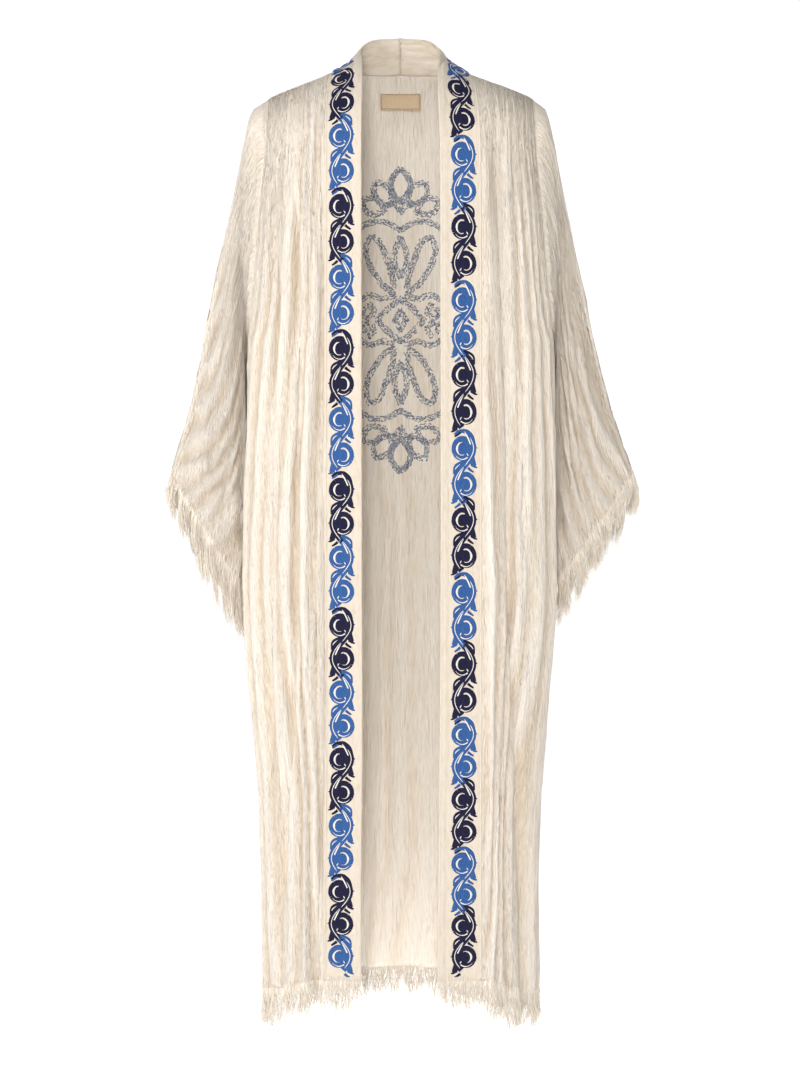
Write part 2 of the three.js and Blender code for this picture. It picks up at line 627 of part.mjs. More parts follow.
function fringeGeometry(line, { length, closed, seed }) {
  const made = new Triangles();
  const cells = closed ? line.length : line.length - 1;
  const placed = (stop, drop, inward) =>
    stop.at.clone().addScaledVector(stop.down, drop).addScaledVector(stop.into, inward);
  const corners = line.map((stop) => ({
    outerTop: placed(stop, FRINGE_GAP, 0),
    innerTop: placed(stop, FRINGE_GAP, GAUZE),
    outerRoot: placed(stop, FRINGE_GAP + HEADING, 0),
    innerRoot: placed(stop, FRINGE_GAP + HEADING, GAUZE),
  }));
  for (let n = 0; n < cells; n += 1) {
    const a = corners[n];
    const b = corners[(n + 1) % corners.length];
    made.quad(a.outerTop, b.outerTop, b.outerRoot, a.outerRoot);
    made.quad(a.innerTop, a.innerRoot, b.innerRoot, b.innerTop);
    made.quad(a.outerTop, a.innerTop, b.innerTop, b.outerTop);
    const root = [a.outerRoot, b.outerRoot, b.innerRoot, a.innerRoot];
    const middle = new THREE.Vector3();
    root.forEach((point) => middle.addScaledVector(point, 0.25));
    const reach = length * (1 + LOCK_UNEVEN * uneven(n, seed));
    const along = b.outerRoot.clone().sub(a.outerRoot).normalize();
    const hang = new THREE.Vector3(0, 0, -1).addScaledVector(along, LOCK_LEAN * uneven(n, seed + 3));
    const neck = root.map((point) =>
      point
        .clone()
        .sub(middle)
        .multiplyScalar(LOCK_WIDTH)
        .add(middle)
        .addScaledVector(hang, reach * LOCK_NECK),
    );
    const tip = middle.clone().addScaledVector(hang, reach);
    for (let i = 0; i < 4; i += 1) {
      const j = (i + 1) % 4;
      made.quad(root[i], root[j], neck[j], neck[i]);
      made.list.push(neck[i], neck[j], tip);
    }
  }
  if (!closed) {
    const first = corners[0];
    const last = corners.at(-1);
    made.quad(first.outerTop, first.outerRoot, first.innerRoot, first.innerTop);
    made.quad(last.outerTop, last.innerTop, last.innerRoot, last.outerRoot);
  }
  return made.geometry();
}

// ================= Label =================

// The label lies inside the back, on its columns nearest the centre.
function labelPiece(back) {
  const inner = innerOf(back);
  const middle = (inner[0].length - 1) / 2;
  const columns = [];
  for (let j = 0; j < inner[0].length; j += 1) {
    if (Math.abs(j - middle) <= LABEL.columns) columns.push(j);
  }
  const levels = [LABEL.top, (LABEL.top + LABEL.bottom) / 2, LABEL.bottom];
  const grid = levels.map((z) =>
    columns.map((j) => {
      let i = 0;
      while (inner[i + 1][j].z > z) i += 1;
      const share = (inner[i][j].z - z) / (inner[i][j].z - inner[i + 1][j].z);
      const point = inner[i][j].clone().lerp(inner[i + 1][j], share);
      const inward = back.normals[i][j].clone().lerp(back.normals[i + 1][j], share).normalize();
      point.x = clamp(point.x, -LABEL.half, LABEL.half);
      return point.addScaledVector(inward, LABEL.gap);
    }),
  );
  return piece("label", grid, { thick: LABEL_CLOTH, look: LABEL_WEAVE, inside: toMiddle });
}

// ================= The robe =================

// Into the wall is towards the hollow, which lies on this line.
const toMiddle = (point) => new THREE.Vector3(0, CENTRE_Y - point.y, 0);
const sideName = (side) => named(side, "right", "left");

const back = piece("back", backGrid, { inside: toMiddle });
const fronts = {};
const sleeves = {};
const bands = {};
for (const side of [-1, 1]) {
  fronts[side] = piece(`front_${sideName(side)}`, frontGrids[side], { inside: toMiddle });
  bands[side] = piece(`band_${sideName(side)}`, bandGrid(side), {
    thick: BAND_CLOTH,
    look: BAND_COTTON,
    inside: toMiddle,
  });
  sleeves[side] = piece(`sleeve_${sideName(side)}`, sleeveGrid(side), {
    closed: true,
    inside: toMiddle,
  });
}
const bodyPieces = [back, ...[-1, 1].flatMap((side) => [fronts[side], bands[side]])];
const tubes = [sleeves[-1], sleeves[1]];
shareSeamNormals([...bodyPieces, ...tubes]);
// A sleeve is two panels, seamed along the top fold and under the arm.
const sleevePanels = tubes.flatMap((tube) => [
  halfOf(tube, `${tube.name}_front`, 0, UNDERARM_ROW),
  halfOf(tube, `${tube.name}_back`, UNDERARM_ROW, tube.points[0].length),
]);
const sewn = [...bodyPieces, ...sleevePanels];
[...sewn, ...tubes].forEach(setBack);

const robe = new THREE.Group();
robe.name = "kimono_robe";

function addMesh(name, geometry, look) {
  const mesh = new THREE.Mesh(geometry, new THREE.MeshStandardMaterial(look));
  mesh.name = name;
  robe.add(mesh);
}

for (const item of [...sewn, labelPiece(back)]) addMesh(item.name, wallGeometry(item), item.look);

const hem = FRINGE.hem;
const backLine = spaced(hangingEdge([{ item: back }]), hem.pitch, false);
addMesh("fringe_hem_back", fringeGeometry(backLine, { length: hem.length, seed: 1 }), COTTON);
for (const side of [-1, 1]) {
  const edge = hangingEdge([{ item: bands[side], reversed: true }, { item: fronts[side] }]);
  const frontLine = spaced(edge, hem.pitch, false);
  const frontFringe = fringeGeometry(frontLine, { length: hem.length, seed: 2 + side });
  addMesh(`fringe_hem_${sideName(side)}`, frontFringe, COTTON);
  const cuffLine = spaced(hangingEdge([{ item: sleeves[side] }]), FRINGE.cuff.pitch, true);
  const cuffFringe = fringeGeometry(cuffLine, { length: FRINGE.cuff.length, closed: true, seed: 5 + side });
  addMesh(`fringe_cuff_${sideName(side)}`, cuffFringe, COTTON);
}

export default robe;
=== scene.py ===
# %% [markdown]
# # A long open-front kimono robe in crinkled cotton gauze
# The robe hangs as if a wearer filled it: two narrow fronts, one wide back, two wide sleeves, a folded
# band down both front edges and round the neck, and fringe on the hem and cuffs. The lesson builds each
# panel as a thin sheet on one shared form, then adds relief, embroidery, stitches and threads.
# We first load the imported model, because every piece must lie where its solid lies.

# %% Load the frame
import json
import math

import bmesh
import bpy
import numpy as np
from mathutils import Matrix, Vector
from mathutils.bvhtree import BVHTree

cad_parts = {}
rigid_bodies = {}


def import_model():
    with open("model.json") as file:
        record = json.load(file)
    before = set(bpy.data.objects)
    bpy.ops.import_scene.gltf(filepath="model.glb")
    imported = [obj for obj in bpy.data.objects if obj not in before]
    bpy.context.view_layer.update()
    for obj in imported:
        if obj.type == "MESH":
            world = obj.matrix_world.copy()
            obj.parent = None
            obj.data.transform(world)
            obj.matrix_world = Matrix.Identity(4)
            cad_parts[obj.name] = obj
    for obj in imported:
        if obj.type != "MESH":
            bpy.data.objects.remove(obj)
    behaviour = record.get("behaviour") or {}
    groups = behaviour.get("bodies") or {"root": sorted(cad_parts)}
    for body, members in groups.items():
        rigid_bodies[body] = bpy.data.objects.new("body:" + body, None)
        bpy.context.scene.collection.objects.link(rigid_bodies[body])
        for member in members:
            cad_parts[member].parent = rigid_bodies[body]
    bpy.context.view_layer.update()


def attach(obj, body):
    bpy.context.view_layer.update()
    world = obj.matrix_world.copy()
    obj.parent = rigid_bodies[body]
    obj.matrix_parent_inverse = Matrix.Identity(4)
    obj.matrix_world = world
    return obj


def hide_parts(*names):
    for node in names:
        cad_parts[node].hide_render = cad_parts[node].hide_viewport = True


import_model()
MM = 0.001
SIDES = {"right": -1, "left": 1}  # the wearer's; the wearer faces -Y

# %% [markdown]
# ## The form that the panels share
# A maker drapes cloth over a figure; here the figure is a table of plan sections. Each row gives the
# half-width and the depths at one height, and a rounded rectangle (a superellipse) joins them. Reading
# the table with smooth steps gives a form with no kinks. Sizes are in millimetres, as on a pattern, and
# each table starts with the names of its columns.

# %% Tables of the body
def table(columns, *rows):
    """Rows as dicts, with the names of the columns written once."""
    return [dict(zip(columns.split(), row)) for row in rows]


CENTRE_Y = 6
SQUARENESS = 3
BODY = table(
    "z half front back valley",
    (-60, 181, 95, 95, 0),
    (-120, 184, 98, 95, 0),
    (-220, 192, 105, 94, 0),
    (-290, 196, 109, 92, 0),
    (-362, 201, 111, 90, 5),
    (-450, 205, 113, 88, 20),
    (-560, 208, 114, 87, 26),
    (-700, 209, 114, 87, 26),
    (-850, 197, 115, 88, 20),
    (-1000, 185, 116, 90, 15),
    (-1225, 183, 117, 92, 12),
)
RIDGE = table(
    "x z",
    (0, 19),
    (45, 13),
    (76, 2.5),
    (92, -7),
    (106, -15),
    (145, -31),
    (171, -42),
    (185, -53),
)
BAND_SEAM = table(
    "z right left",
    (0, 92, 92),
    (-25, 95, 97),
    (-60, 97, 101),
    (-110, 97.5, 104),
    (-1225, 98, 104.5),
)
VALLEY_WIDTH, KNEE, KNEE_AT = 24, 0.58, 0.81
ROLL_AT_NECK, ROLL_AT_TIP, ROLL_NARROWS = 105, 45, (70, 185)
SEAM_FORWARD = 8  # degrees that the shoulder seam lies before the ridge
NECK_HALF, NECK_DEPTH, REFERENCE_Z = 92, 58, -60
UNDERARM_Z, ARMHOLE_HALF, ARMHOLE_NARROWS = -362, 44, 132
HEM_CENTRE = {"front": -1193, "back": -1200}
HEM_SIDE = {-1: -1212, 1: -1221}


print("body sections:", len(BODY))


# %% Reading a table smoothly
def read(rows, key, column, at):
    """A smooth value of one column of a table whose rows are in order of a key."""
    keys = np.array([row[key] for row in rows], float)
    values = np.array([row[column] for row in rows], float)
    if keys[0] > keys[-1]:
        keys, values = keys[::-1], values[::-1]
    last = len(keys) - 1
    low, high = np.maximum(np.arange(last + 1) - 1, 0), np.minimum(np.arange(last + 1) + 1, last)
    slopes = (values[high] - values[low]) / (keys[high] - keys[low])
    at = np.clip(np.asarray(at, float), keys[0], keys[-1])
    i = np.clip(np.searchsorted(keys, at, side="right") - 1, 0, last - 1)
    span = keys[i + 1] - keys[i]
    s = (at - keys[i]) / span
    ease = s * s * (3 - 2 * s)
    bend = s * (1 - s) ** 2 * span * slopes[i] - s * s * (1 - s) * span * slopes[i + 1]
    return values[i] + (values[i + 1] - values[i]) * ease + bend


def lerp(a, b, s):
    return a + (b - a) * s


def smooth(x, low, high):
    s = np.clip((x - low) / (high - low), 0, 1)
    return s * s * (3 - 2 * s)


def soft_max(a, b, rounding):
    overlap = np.maximum(rounding - np.abs(a - b), 0)
    return np.maximum(a, b) + np.where(rounding > 0, overlap**2 / (4 * np.maximum(rounding, 1e-6)), 0)


def unit(vectors):
    return vectors / np.maximum(np.linalg.norm(vectors, axis=-1, keepdims=True), 1e-9)


def lengths(points, axis):
    """Distance walked along the rows or the columns of a grid, or along a line."""
    steps = np.linalg.norm(np.diff(points, axis=axis), axis=-1)
    pad = [(0, 0)] * steps.ndim
    pad[axis] = (1, 0)
    return np.cumsum(np.pad(steps, pad), axis=axis)


def picked(at, run, line):
    """Points of a line at given distances, where run holds the distance of each of its points."""
    return np.stack([np.interp(at, run, line[:, axis]) for axis in range(3)], axis=-1)


print("half-width at the hips:", float(read(BODY, "z", "half", -650)), "mm")

# %% [markdown]
# ## Folds
# Cloth that hangs from a shoulder makes a few long soft troughs and ridges. They could be simulated, but a
# simulation never gives the same folds twice, so each one is listed: its line at six heights, its
# width and its depth. A ridge is a trough with a negative depth.

# %% Folds of the body
FOLD_HEIGHTS = [-100, -300, -500, -700, -900, -1100]
FOLD_FADE = 90
FOLDS = table(
    "face side top end x wide deep",
    ("front", -1, -80, -960, [172, 161, 167, 168, 173, 176], 6, 8),
    ("front", -1, -130, -1140, [147, 132, 135, 134, 143, 157], 6, 9),
    ("front", -1, -50, -1300, [106, 103, 102, 100, 100, 108], 5, 9),
    ("front", -1, -170, -900, [118, 120, 121, 125, 136, 140], 7, -4),
    ("front", 1, -70, -1300, [124, 132, 138, 141, 152, 165], 7, 12),
    ("front", 1, -80, -220, [149, 155, 155, 155, 155, 155], 5, 6),
    ("front", 1, -480, -680, [159, 159, 159, 159, 159, 159], 5, 6),
    ("front", 1, -120, -900, [168, 170, 167, 176, 174, 174], 8, -4),
    ("front", 1, -90, -1300, [112, 113, 114, 117, 116, 118], 7, -5),
    ("back", 1, -540, -1300, [38, 38, 38, 42, 45, 46], 8, 6),
    ("back", -1, -180, -1300, [24, 20, 18, 22, 26, 30], 9, 5),
    ("back", 1, -90, -1150, [84, 80, 78, 82, 88, 92], 9, 8),
    ("back", -1, -110, -1300, [90, 84, 80, 78, 80, 84], 9, 9),
    ("back", 1, -130, -1300, [132, 126, 124, 126, 132, 140], 8, 10),
    ("back", -1, -80, -1060, [140, 134, 130, 132, 138, 142], 8, 9),
)


def fold_depth(face, side, x, z):
    total = np.zeros(np.broadcast(x, z).shape)
    for fold in FOLDS:
        if fold["face"] != face or fold["side"] != side:
            continue
        rows = [dict(z=height, x=at) for height, at in zip(FOLD_HEIGHTS, fold["x"])]
        off = (x - read(rows, "z", "x", z)) / fold["wide"]
        fade = smooth(fold["top"] - z, 0, FOLD_FADE) * smooth(z - fold["end"], 0, FOLD_FADE)
        total = total + fold["deep"] * np.exp(-off * off) * fade
    return total


print("folds on the body:", len(FOLDS))


# %% Plan sections
def conjugate(value, along, across):
    return across * (1 - np.clip(value / along, 0, 1) ** SQUARENESS) ** (1 / SQUARENESS)


def share_of(out, deep, half, depth):
    """Where a point lies on a quarter section, measured along the rectangle round it."""
    wide = out * depth / np.maximum(deep, 1e-9)
    turned = half + depth - half * deep / np.maximum(out, 1e-9)
    return np.where(wide <= half, wide, turned) / (half + depth)


def armhole_depth(z):
    low = np.clip((UNDERARM_Z + ARMHOLE_NARROWS - z) / ARMHOLE_NARROWS, 0, 1)
    return ARMHOLE_HALF * np.sqrt(1 - low * low)


def column_share(side, across, z, half, depth):
    seam = read(BAND_SEAM, "z", "right" if side < 0 else "left", z)
    at_seam = share_of(seam, conjugate(seam, half, depth), half, depth)
    at_knee = share_of(KNEE_AT * half, conjugate(KNEE_AT * half, half, depth), half, depth)
    edge = armhole_depth(z)
    at_edge = share_of(conjugate(edge, depth, half), edge, half, depth)
    flat = lerp(at_seam, at_knee, across / KNEE)
    turned = lerp(at_knee, at_edge, (across - KNEE) / (1 - KNEE))
    return np.where(across < 0, at_seam * (1 + across), np.where(across < KNEE, flat, turned))


def section(face, side, across, z):
    """Half-width, depth, side valley and plan normal of a column at a height."""
    half, depth = read(BODY, "z", "half", z), read(BODY, "z", face, z)
    run = column_share(side, across, z, half, depth) * (half + depth)
    angle = np.arctan2(depth - np.maximum(run - half, 0), np.minimum(run, half))
    cos, sin = np.cos(angle), np.sin(angle)
    reach = (np.abs(cos / half) ** SQUARENESS + np.abs(sin / depth) ** SQUARENESS) ** (-1 / SQUARENESS)
    out, deep = reach * cos, reach * sin
    slope_out = (np.abs(out) / half) ** (SQUARENESS - 1) / half
    slope_deep = (np.abs(deep) / depth) ** (SQUARENESS - 1) / depth
    length = np.hypot(slope_out, slope_deep)
    valley = read(BODY, "z", "valley", z) * np.exp(-((deep / VALLEY_WIDTH) ** 2))
    return out, deep, valley, slope_out / length, slope_deep / length


def shoulder_at(side, across):
    out = section("back", side, across, np.full_like(across, REFERENCE_Z))[0]
    return read(RIDGE, "x", "z", out), lerp(ROLL_AT_NECK, ROLL_AT_TIP, smooth(out, *ROLL_NARROWS))


hips = section("front", 1, np.ones(1), np.full(1, -650.0))
print("side of the hips, out and forward:", [round(float(value[0]), 1) for value in hips[:2]])


# %% A point of the body
def body_points(face, side, across, turn, fall):
    """Points in millimetres: turn is degrees over the shoulder, fall 0..1 the drop to the hem."""
    across, turn, fall = np.broadcast_arrays(across, turn, fall)
    across = across.astype(float)
    ridge, roll = shoulder_at(side, across)
    angle = np.radians(turn)
    hem_share = across if face == "front" else (across + 1) / 2
    hem = lerp(HEM_CENTRE[face], HEM_SIDE[side], smooth(hem_share, 0, 1))
    z = np.where(fall > 0, lerp(ridge - roll, hem, fall), ridge - roll * (1 - np.cos(angle)))
    front = (face == "front") | (turn < 0)
    lift = np.where(fall > 0, 1, np.abs(np.sin(angle)))
    made = []
    for which in ("front", "back"):
        out, deep, valley, n_out, n_deep = section(which, side, across, z)
        pressed = fold_depth(which, side, out, z) * lift * lift
        made.append((out - valley - pressed * n_out, (deep - pressed * n_deep) * lift))
    out = np.where(front, made[0][0], made[1][0])
    deep = np.where(front, -made[0][1], made[1][1])
    return np.stack([side * out, CENTRE_Y + deep, z], axis=-1)


def neck_turn(side, across):
    """How far over the shoulder roll the oval neck cut crosses a column of the back."""
    out = NECK_HALF * (1 + across)
    reach = NECK_DEPTH * np.sqrt(np.maximum(1 - (out / NECK_HALF) ** 2, 0))
    deep = section("back", side, across, np.full_like(across, REFERENCE_Z))[1]
    return np.degrees(np.arcsin(reach / deep))


print("left corner of the front hem:", body_points("front", 1, np.ones(1), 90, np.ones(1)).round(1))

# %% [markdown]
# ## Rows and columns
# Every panel has the same rows, so two panels meet along a seam without a gap. The rows first turn over
# the shoulder and then fall to the hem. Cells are about 2 by 7 mm, narrow across the crinkles and long
# along them, because that is how the relief runs.

# %% Rows
ROLL_ROWS, ARM_ROWS, SKIRT_ROWS = 20, 40, 128


def underarm_fall(side):
    ridge, roll = shoulder_at(side, np.ones(1))
    return float((ridge - roll - UNDERARM_Z)[0] / (ridge - roll - HEM_SIDE[side])[0])


def panel_points(face, side, columns, starts):
    """A panel's grid: its rows roll over the shoulder, pass the armhole and fall to the hem."""
    underarm = underarm_fall(side)
    arm = underarm * np.linspace(0, 1, ARM_ROWS + 1)[1:]
    skirt = np.linspace(underarm, 1, SKIRT_ROWS + 1)[1:]
    share = np.concatenate([np.linspace(0, 1, ROLL_ROWS + 1), np.ones(ARM_ROWS + SKIRT_ROWS)])
    fall = np.concatenate([np.zeros(ROLL_ROWS + 1), arm, skirt])
    turn = lerp(starts[None, :], 90, share[:, None])
    return body_points(face, side, columns[None, :], turn, fall[:, None])


FRONT_COLUMNS = 100
front_across = np.linspace(0, 1, FRONT_COLUMNS + 1)
front_form = {
    side: panel_points("front", side, front_across, np.full(FRONT_COLUMNS + 1, float(SEAM_FORWARD)))
    for side in SIDES.values()
}
NECK_COLUMNS, SIDE_COLUMNS = 30, 74
NECK_TURNS = np.linspace(90, 6, NECK_COLUMNS)
neck_across = np.cos(np.radians(NECK_TURNS)) - 1
side_across = np.linspace(0, 1, SIDE_COLUMNS + 1)
back_half = {}
for side in SIDES.values():
    starts = np.concatenate([neck_turn(side, neck_across), np.full(SIDE_COLUMNS + 1, -float(SEAM_FORWARD))])
    back_half[side] = panel_points("back", side, np.concatenate([neck_across, side_across]), starts)
back_form = np.concatenate([back_half[-1][:, :0:-1], back_half[1]], axis=1)
print("front grid", front_form[1].shape, "back grid", back_form.shape)

# %% [markdown]
# ## Crinkle
# Crinkled gauze is woven with hard-twisted threads that shrink in the wash, so the cloth draws up into
# fine uneven ridges along its length. Smooth random numbers on a lattice that is short across and long
# along the cloth give such ridges. The large ones move the mesh; the finest stay in the material. A slow
# wave adds the soft flutes between the hanging folds.

# %% Lattice noise
LATTICE = 128
RIDGES = table(  # pitch across and along the cloth in mm, height in mm
    "kind across along high",
    ("broad", 13, 240, 0.9),
    ("pleat", 6.6, 130, 1.5),
    ("fine", 3.7, 62, 1.1),
)
WAVE = dict(pitch=31, high=1.9, starts=60, full=300)


def lattice_noise(u, v, seed):
    """Smooth noise from -1 to 1, one cell for each unit of u and v."""
    values = np.random.default_rng(seed).uniform(-1, 1, (LATTICE, LATTICE))
    iu, iv = np.floor(u).astype(int), np.floor(v).astype(int)
    fu, fv = u - iu, v - iv
    fu, fv = fu * fu * (3 - 2 * fu), fv * fv * (3 - 2 * fv)
    at = lambda a, b: values[(iu + a) % LATTICE, (iv + b) % LATTICE]
    return lerp(lerp(at(0, 0), at(1, 0), fu), lerp(at(0, 1), at(1, 1), fu), fv)


def crinkle(u, v, seed):
    """Height of the crinkle in mm at places u across and v along the cloth, also in mm."""
    u = u + 2.6 * lattice_noise(u / 30, v / 70, seed + 1) + 0.8 * lattice_noise(u / 9, v / 26, seed + 5)
    broad, pleat, fine = (
        lattice_noise(u / row["across"], v / row["along"], seed + 2 + k) for k, row in enumerate(RIDGES)
    )
    pleat, fine = np.abs(pleat) ** 0.62 - 0.5, np.abs(fine) ** 0.7 - 0.45
    ridges = sum(row["high"] * shape for row, shape in zip(RIDGES, (broad, pleat, fine)))
    calm = 0.75 + 0.5 * lattice_noise(u / 45, v / 90, seed + 6)
    wave = np.cos(2 * math.pi * (u / WAVE["pitch"] + 0.9 * lattice_noise(u / 70, v / 330, seed + 7)))
    return calm * ridges + WAVE["high"] * wave * smooth(v, WAVE["starts"], WAVE["full"])


print("crinkle sample:", np.round(crinkle(np.arange(0, 20, 5.0), np.zeros(4), 1), 2))


# %% From a grid of points to a mesh
def grid_mesh(name, rows, columns, strips=1):
    """bmesh's grid, cut into equal strips of rows, with the row and column of each vertex."""
    bm = bmesh.new()
    bmesh.ops.create_grid(bm, x_segments=columns - 1, y_segments=rows * strips - 1, size=0.5)
    if strips > 1:
        bridges = []
        for face in bm.faces:
            row = (0.5 - face.calc_center_bounds().y) * (rows * strips - 1)
            if int(row) % rows == rows - 1:
                bridges.append(face)
        bmesh.ops.delete(bm, geom=bridges, context="FACES_ONLY")
    mesh = bpy.data.meshes.new(name)
    bm.to_mesh(mesh)
    bm.free()
    flat = np.empty(len(mesh.vertices) * 3)
    mesh.vertices.foreach_get("co", flat)
    flat = flat.reshape(-1, 3)
    i = np.rint((0.5 - flat[:, 1]) * (rows * strips - 1)).astype(int)
    j = np.rint((flat[:, 0] + 0.5) * (columns - 1)).astype(int)
    return mesh, i, j


def fill_mesh(mesh, i, j, points, fabric):
    """Moves the grid to its points and gives it its place on the cloth as a UV map, in metres."""
    mesh.vertices.foreach_set("co", (points[i, j] * MM).ravel())
    corner = np.empty(len(mesh.loops), int)
    mesh.loops.foreach_get("vertex_index", corner)
    layer = mesh.uv_layers.new(name="fabric")
    layer.data.foreach_set("uv", (fabric[i[corner], j[corner]] * MM).ravel())
    mesh.update()


def weld(mesh, distance=1e-7):
    bm = bmesh.new()
    bm.from_mesh(mesh)
    bmesh.ops.remove_doubles(bm, verts=bm.verts, dist=distance)
    bm.to_mesh(mesh)
    bm.free()


def add_object(name, data):
    made = bpy.data.objects.new(name, data)
    bpy.context.scene.collection.objects.link(made)
    return made


def add_piece(mesh, material, slot):
    piece = add_object(mesh.name, mesh)
    mesh.materials.append(material)
    mesh.shade_smooth()
    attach(piece, "root")
    return piece


print("mesh helpers:", [helper.__name__ for helper in (grid_mesh, fill_mesh, weld, add_piece)])


# %% Measures of a grid
def grid_normals(points, closed=False):
    """Unit normals on the side from which the grid's faces turn anticlockwise."""
    down, across = np.gradient(points, axis=0), np.gradient(points, axis=1)
    if closed:
        across[:, 0] = across[:, -1] = (points[:, 1] - points[:, -2]) / 2
    return unit(np.cross(down, across))


def outward(points, closed=False):
    """The grid, its columns reversed if its normals point to the robe's middle."""
    towards = grid_normals(points, closed)[..., 1] * (points[..., 1] - CENTRE_Y)
    return points if towards.sum() > 0 else points[:, ::-1]


def cloth_places(points, row):
    """Place on the cloth: across, as measured along one row, and down each column."""
    across = lengths(points, 1)[row]
    return np.stack([np.broadcast_to(across, points.shape[:2]), lengths(points, 0)], axis=-1)


def area_of(points):
    a, b = np.diff(points[:, :-1], axis=0), np.diff(points[:-1], axis=1)
    return float(np.linalg.norm(np.cross(a, b), axis=-1).sum()) * MM * MM


print("front area:", round(area_of(front_form[1]), 3), "back area:", round(area_of(back_form), 3), "m2")

# %% [markdown]
# ## Materials for cotton
# Gauze is matt, slightly sheer and never one colour: its tone differs at random, and on top of that the
# colour carries painted shade, lighter on the ridges and darker and warmer in the troughs, as light and
# shade fall there. The nodes read the UV map that holds the cloth's own measure in metres, so the pattern
# follows each panel however it hangs, and the mesh's height attribute says how far a place stands out,
# which also paints shade into the troughs. One noise stretched along the cloth drives both the painted
# shade in the colour and the bump, and two fine waves make warp and weft. The inner face gets a brighter
# copy of the colour as painted light.

# %% Node helpers
def new_material(name):
    material = bpy.data.materials.new(name)
    material.use_nodes = True
    tree = material.node_tree
    return material, tree, tree.nodes["Principled BSDF"]


def connect(tree, node, inputs):
    """Sets each input of a node to a value, or links it to a socket."""
    for key, value in inputs.items():
        if isinstance(value, bpy.types.NodeSocket):
            tree.links.new(value, node.inputs[key])
        else:
            node.inputs[key].default_value = value


def add_node(tree, kind, inputs, **settings):
    node = tree.nodes.new(kind)
    for key, value in settings.items():
        setattr(node, key, value)
    connect(tree, node, inputs)
    return node


def maths(tree, operation, *values):
    return add_node(tree, "ShaderNodeMath", dict(enumerate(values)), operation=operation).outputs[0]


def noise(tree, place, scale, detail=2, roughness=0.5):
    inputs = {"Vector": place, "Scale": scale, "Detail": detail, "Roughness": roughness}
    return add_node(tree, "ShaderNodeTexNoise", inputs).outputs["Fac"]


def waves(tree, place, scale, direction, distortion, detail_scale=1):
    inputs = {"Vector": place, "Scale": scale, "Distortion": distortion, "Detail Scale": detail_scale}
    return add_node(tree, "ShaderNodeTexWave", inputs, bands_direction=direction).outputs["Fac"]


def bump(tree, height, distance, strength, **more):
    inputs = {"Height": height, "Distance": distance, "Strength": strength, **more}
    return add_node(tree, "ShaderNodeBump", inputs).outputs["Normal"]


def colour_ramp(tree, factor, stops):
    node = add_node(tree, "ShaderNodeValToRGB", {"Fac": factor})
    while len(node.color_ramp.elements) < len(stops):
        node.color_ramp.elements.new(0.5)
    for element, (position, colour) in zip(node.color_ramp.elements, stops):
        element.position, element.color = position, (*colour, 1)
    return node.outputs["Color"]


def place_on_cloth(tree, *repeats):
    """The place on the cloth, scaled to so many repeats a metre across and along."""
    uv = add_node(tree, "ShaderNodeUVMap", {}, uv_map="fabric").outputs["UV"]
    return add_node(tree, "ShaderNodeMapping", {"Vector": uv, "Scale": (*repeats, 1)}).outputs["Vector"]


print("node helpers:", [helper.__name__ for helper in (connect, maths, noise, waves, bump)])

# %% Cotton
PAINTED_FOLD_SHADE, BLOTCH_IN_TONE, TONE_STOPS = 0.5, 0.16, (0.12, 0.31, 0.52)
WARP_AND_WEFT = (("X", 0.28), ("Y", 0.25))


def cotton(name, crinkle_mm, along_mm, depth, colours, shade_by_height=0.065):
    """Cotton with crinkles of a given pitch across and along the cloth, with painted shade: darker and
    warmer in its troughs.
    """
    material, tree, shader = new_material(name)
    folds = noise(tree, place_on_cloth(tree, 1000 / crinkle_mm, 1000 / along_mm), 1, roughness=0.55)
    blotch = noise(tree, place_on_cloth(tree, 30, 9), 1)
    height = add_node(tree, "ShaderNodeAttribute", {}, attribute_name="height").outputs["Fac"]
    # painted shade: the fold noise that makes the bump, and the crinkle height, darken the colour in the
    # troughs and lighten it on the ridges; only the blotch is the cloth's own uneven tone
    tone = maths(tree, "MULTIPLY", folds, PAINTED_FOLD_SHADE)
    tone = maths(tree, "MULTIPLY_ADD", blotch, BLOTCH_IN_TONE, tone)
    tone = maths(tree, "MULTIPLY_ADD", height, shade_by_height, tone)
    threads_at = place_on_cloth(tree, 1000, 1000)
    woven = maths(tree, "ADD", *(waves(tree, threads_at, scale, way, 1.5) for way, scale in WARP_AND_WEFT))
    look = {
        "Base Color": colour_ramp(tree, tone, list(zip(TONE_STOPS, colours))),
        "Normal": bump(tree, woven, 0.0005, 0.5, Normal=bump(tree, folds, depth, 1)),
        "Roughness": 0.95,
        "Specular IOR Level": 0.12,
        "Sheen Weight": 0.12,
        "Sheen Roughness": 0.6,
    }
    connect(tree, shader, look)
    return material


# stops of each ramp: trough, middle, ridge; the darker, warmer trough stops are painted shade
OUTSIDE = [(0.68, 0.565, 0.435), (0.775, 0.685, 0.578), (0.815, 0.74, 0.65)]
# painted light: the inner face's colours are a brighter copy of the outside's, standing in for light on the
# inside of the robe
INSIDE_PAINTED_LIGHT = [(0.84, 0.73, 0.60), (0.94, 0.855, 0.745), (0.96, 0.90, 0.81)]
gauze = cotton("crinkled_gauze", 2.4, 17, 0.0034, OUTSIDE)
gauze_inside_painted_light = cotton("gauze_inside_painted_light", 2.8, 30, 0.0030, INSIDE_PAINTED_LIGHT)
BANDS = [(0.63, 0.525, 0.40), (0.715, 0.625, 0.515), (0.76, 0.68, 0.58)]
band_cotton = cotton("band_cotton", 5, 16, 0.0018, BANDS, shade_by_height=0.08)
print("materials:", [m.name for m in bpy.data.materials])

# %% [markdown]
# ## Fronts and back
# Each panel is one grid on the shared form. The relief is pushed along the normals and fades out near a
# sewn edge, so that neighbours still meet. Solidify then gives the cloth its wall on the inner side, and
# the inner face of the gauze takes a brighter copy of its colour as painted light.

# %% Panels
GAUZE_WALL = 0.9
FOLD_KEEPS, FOLD_REACH = 0.1, 11
LABEL = dict(half=27, top=-25, bottom=-47.5)


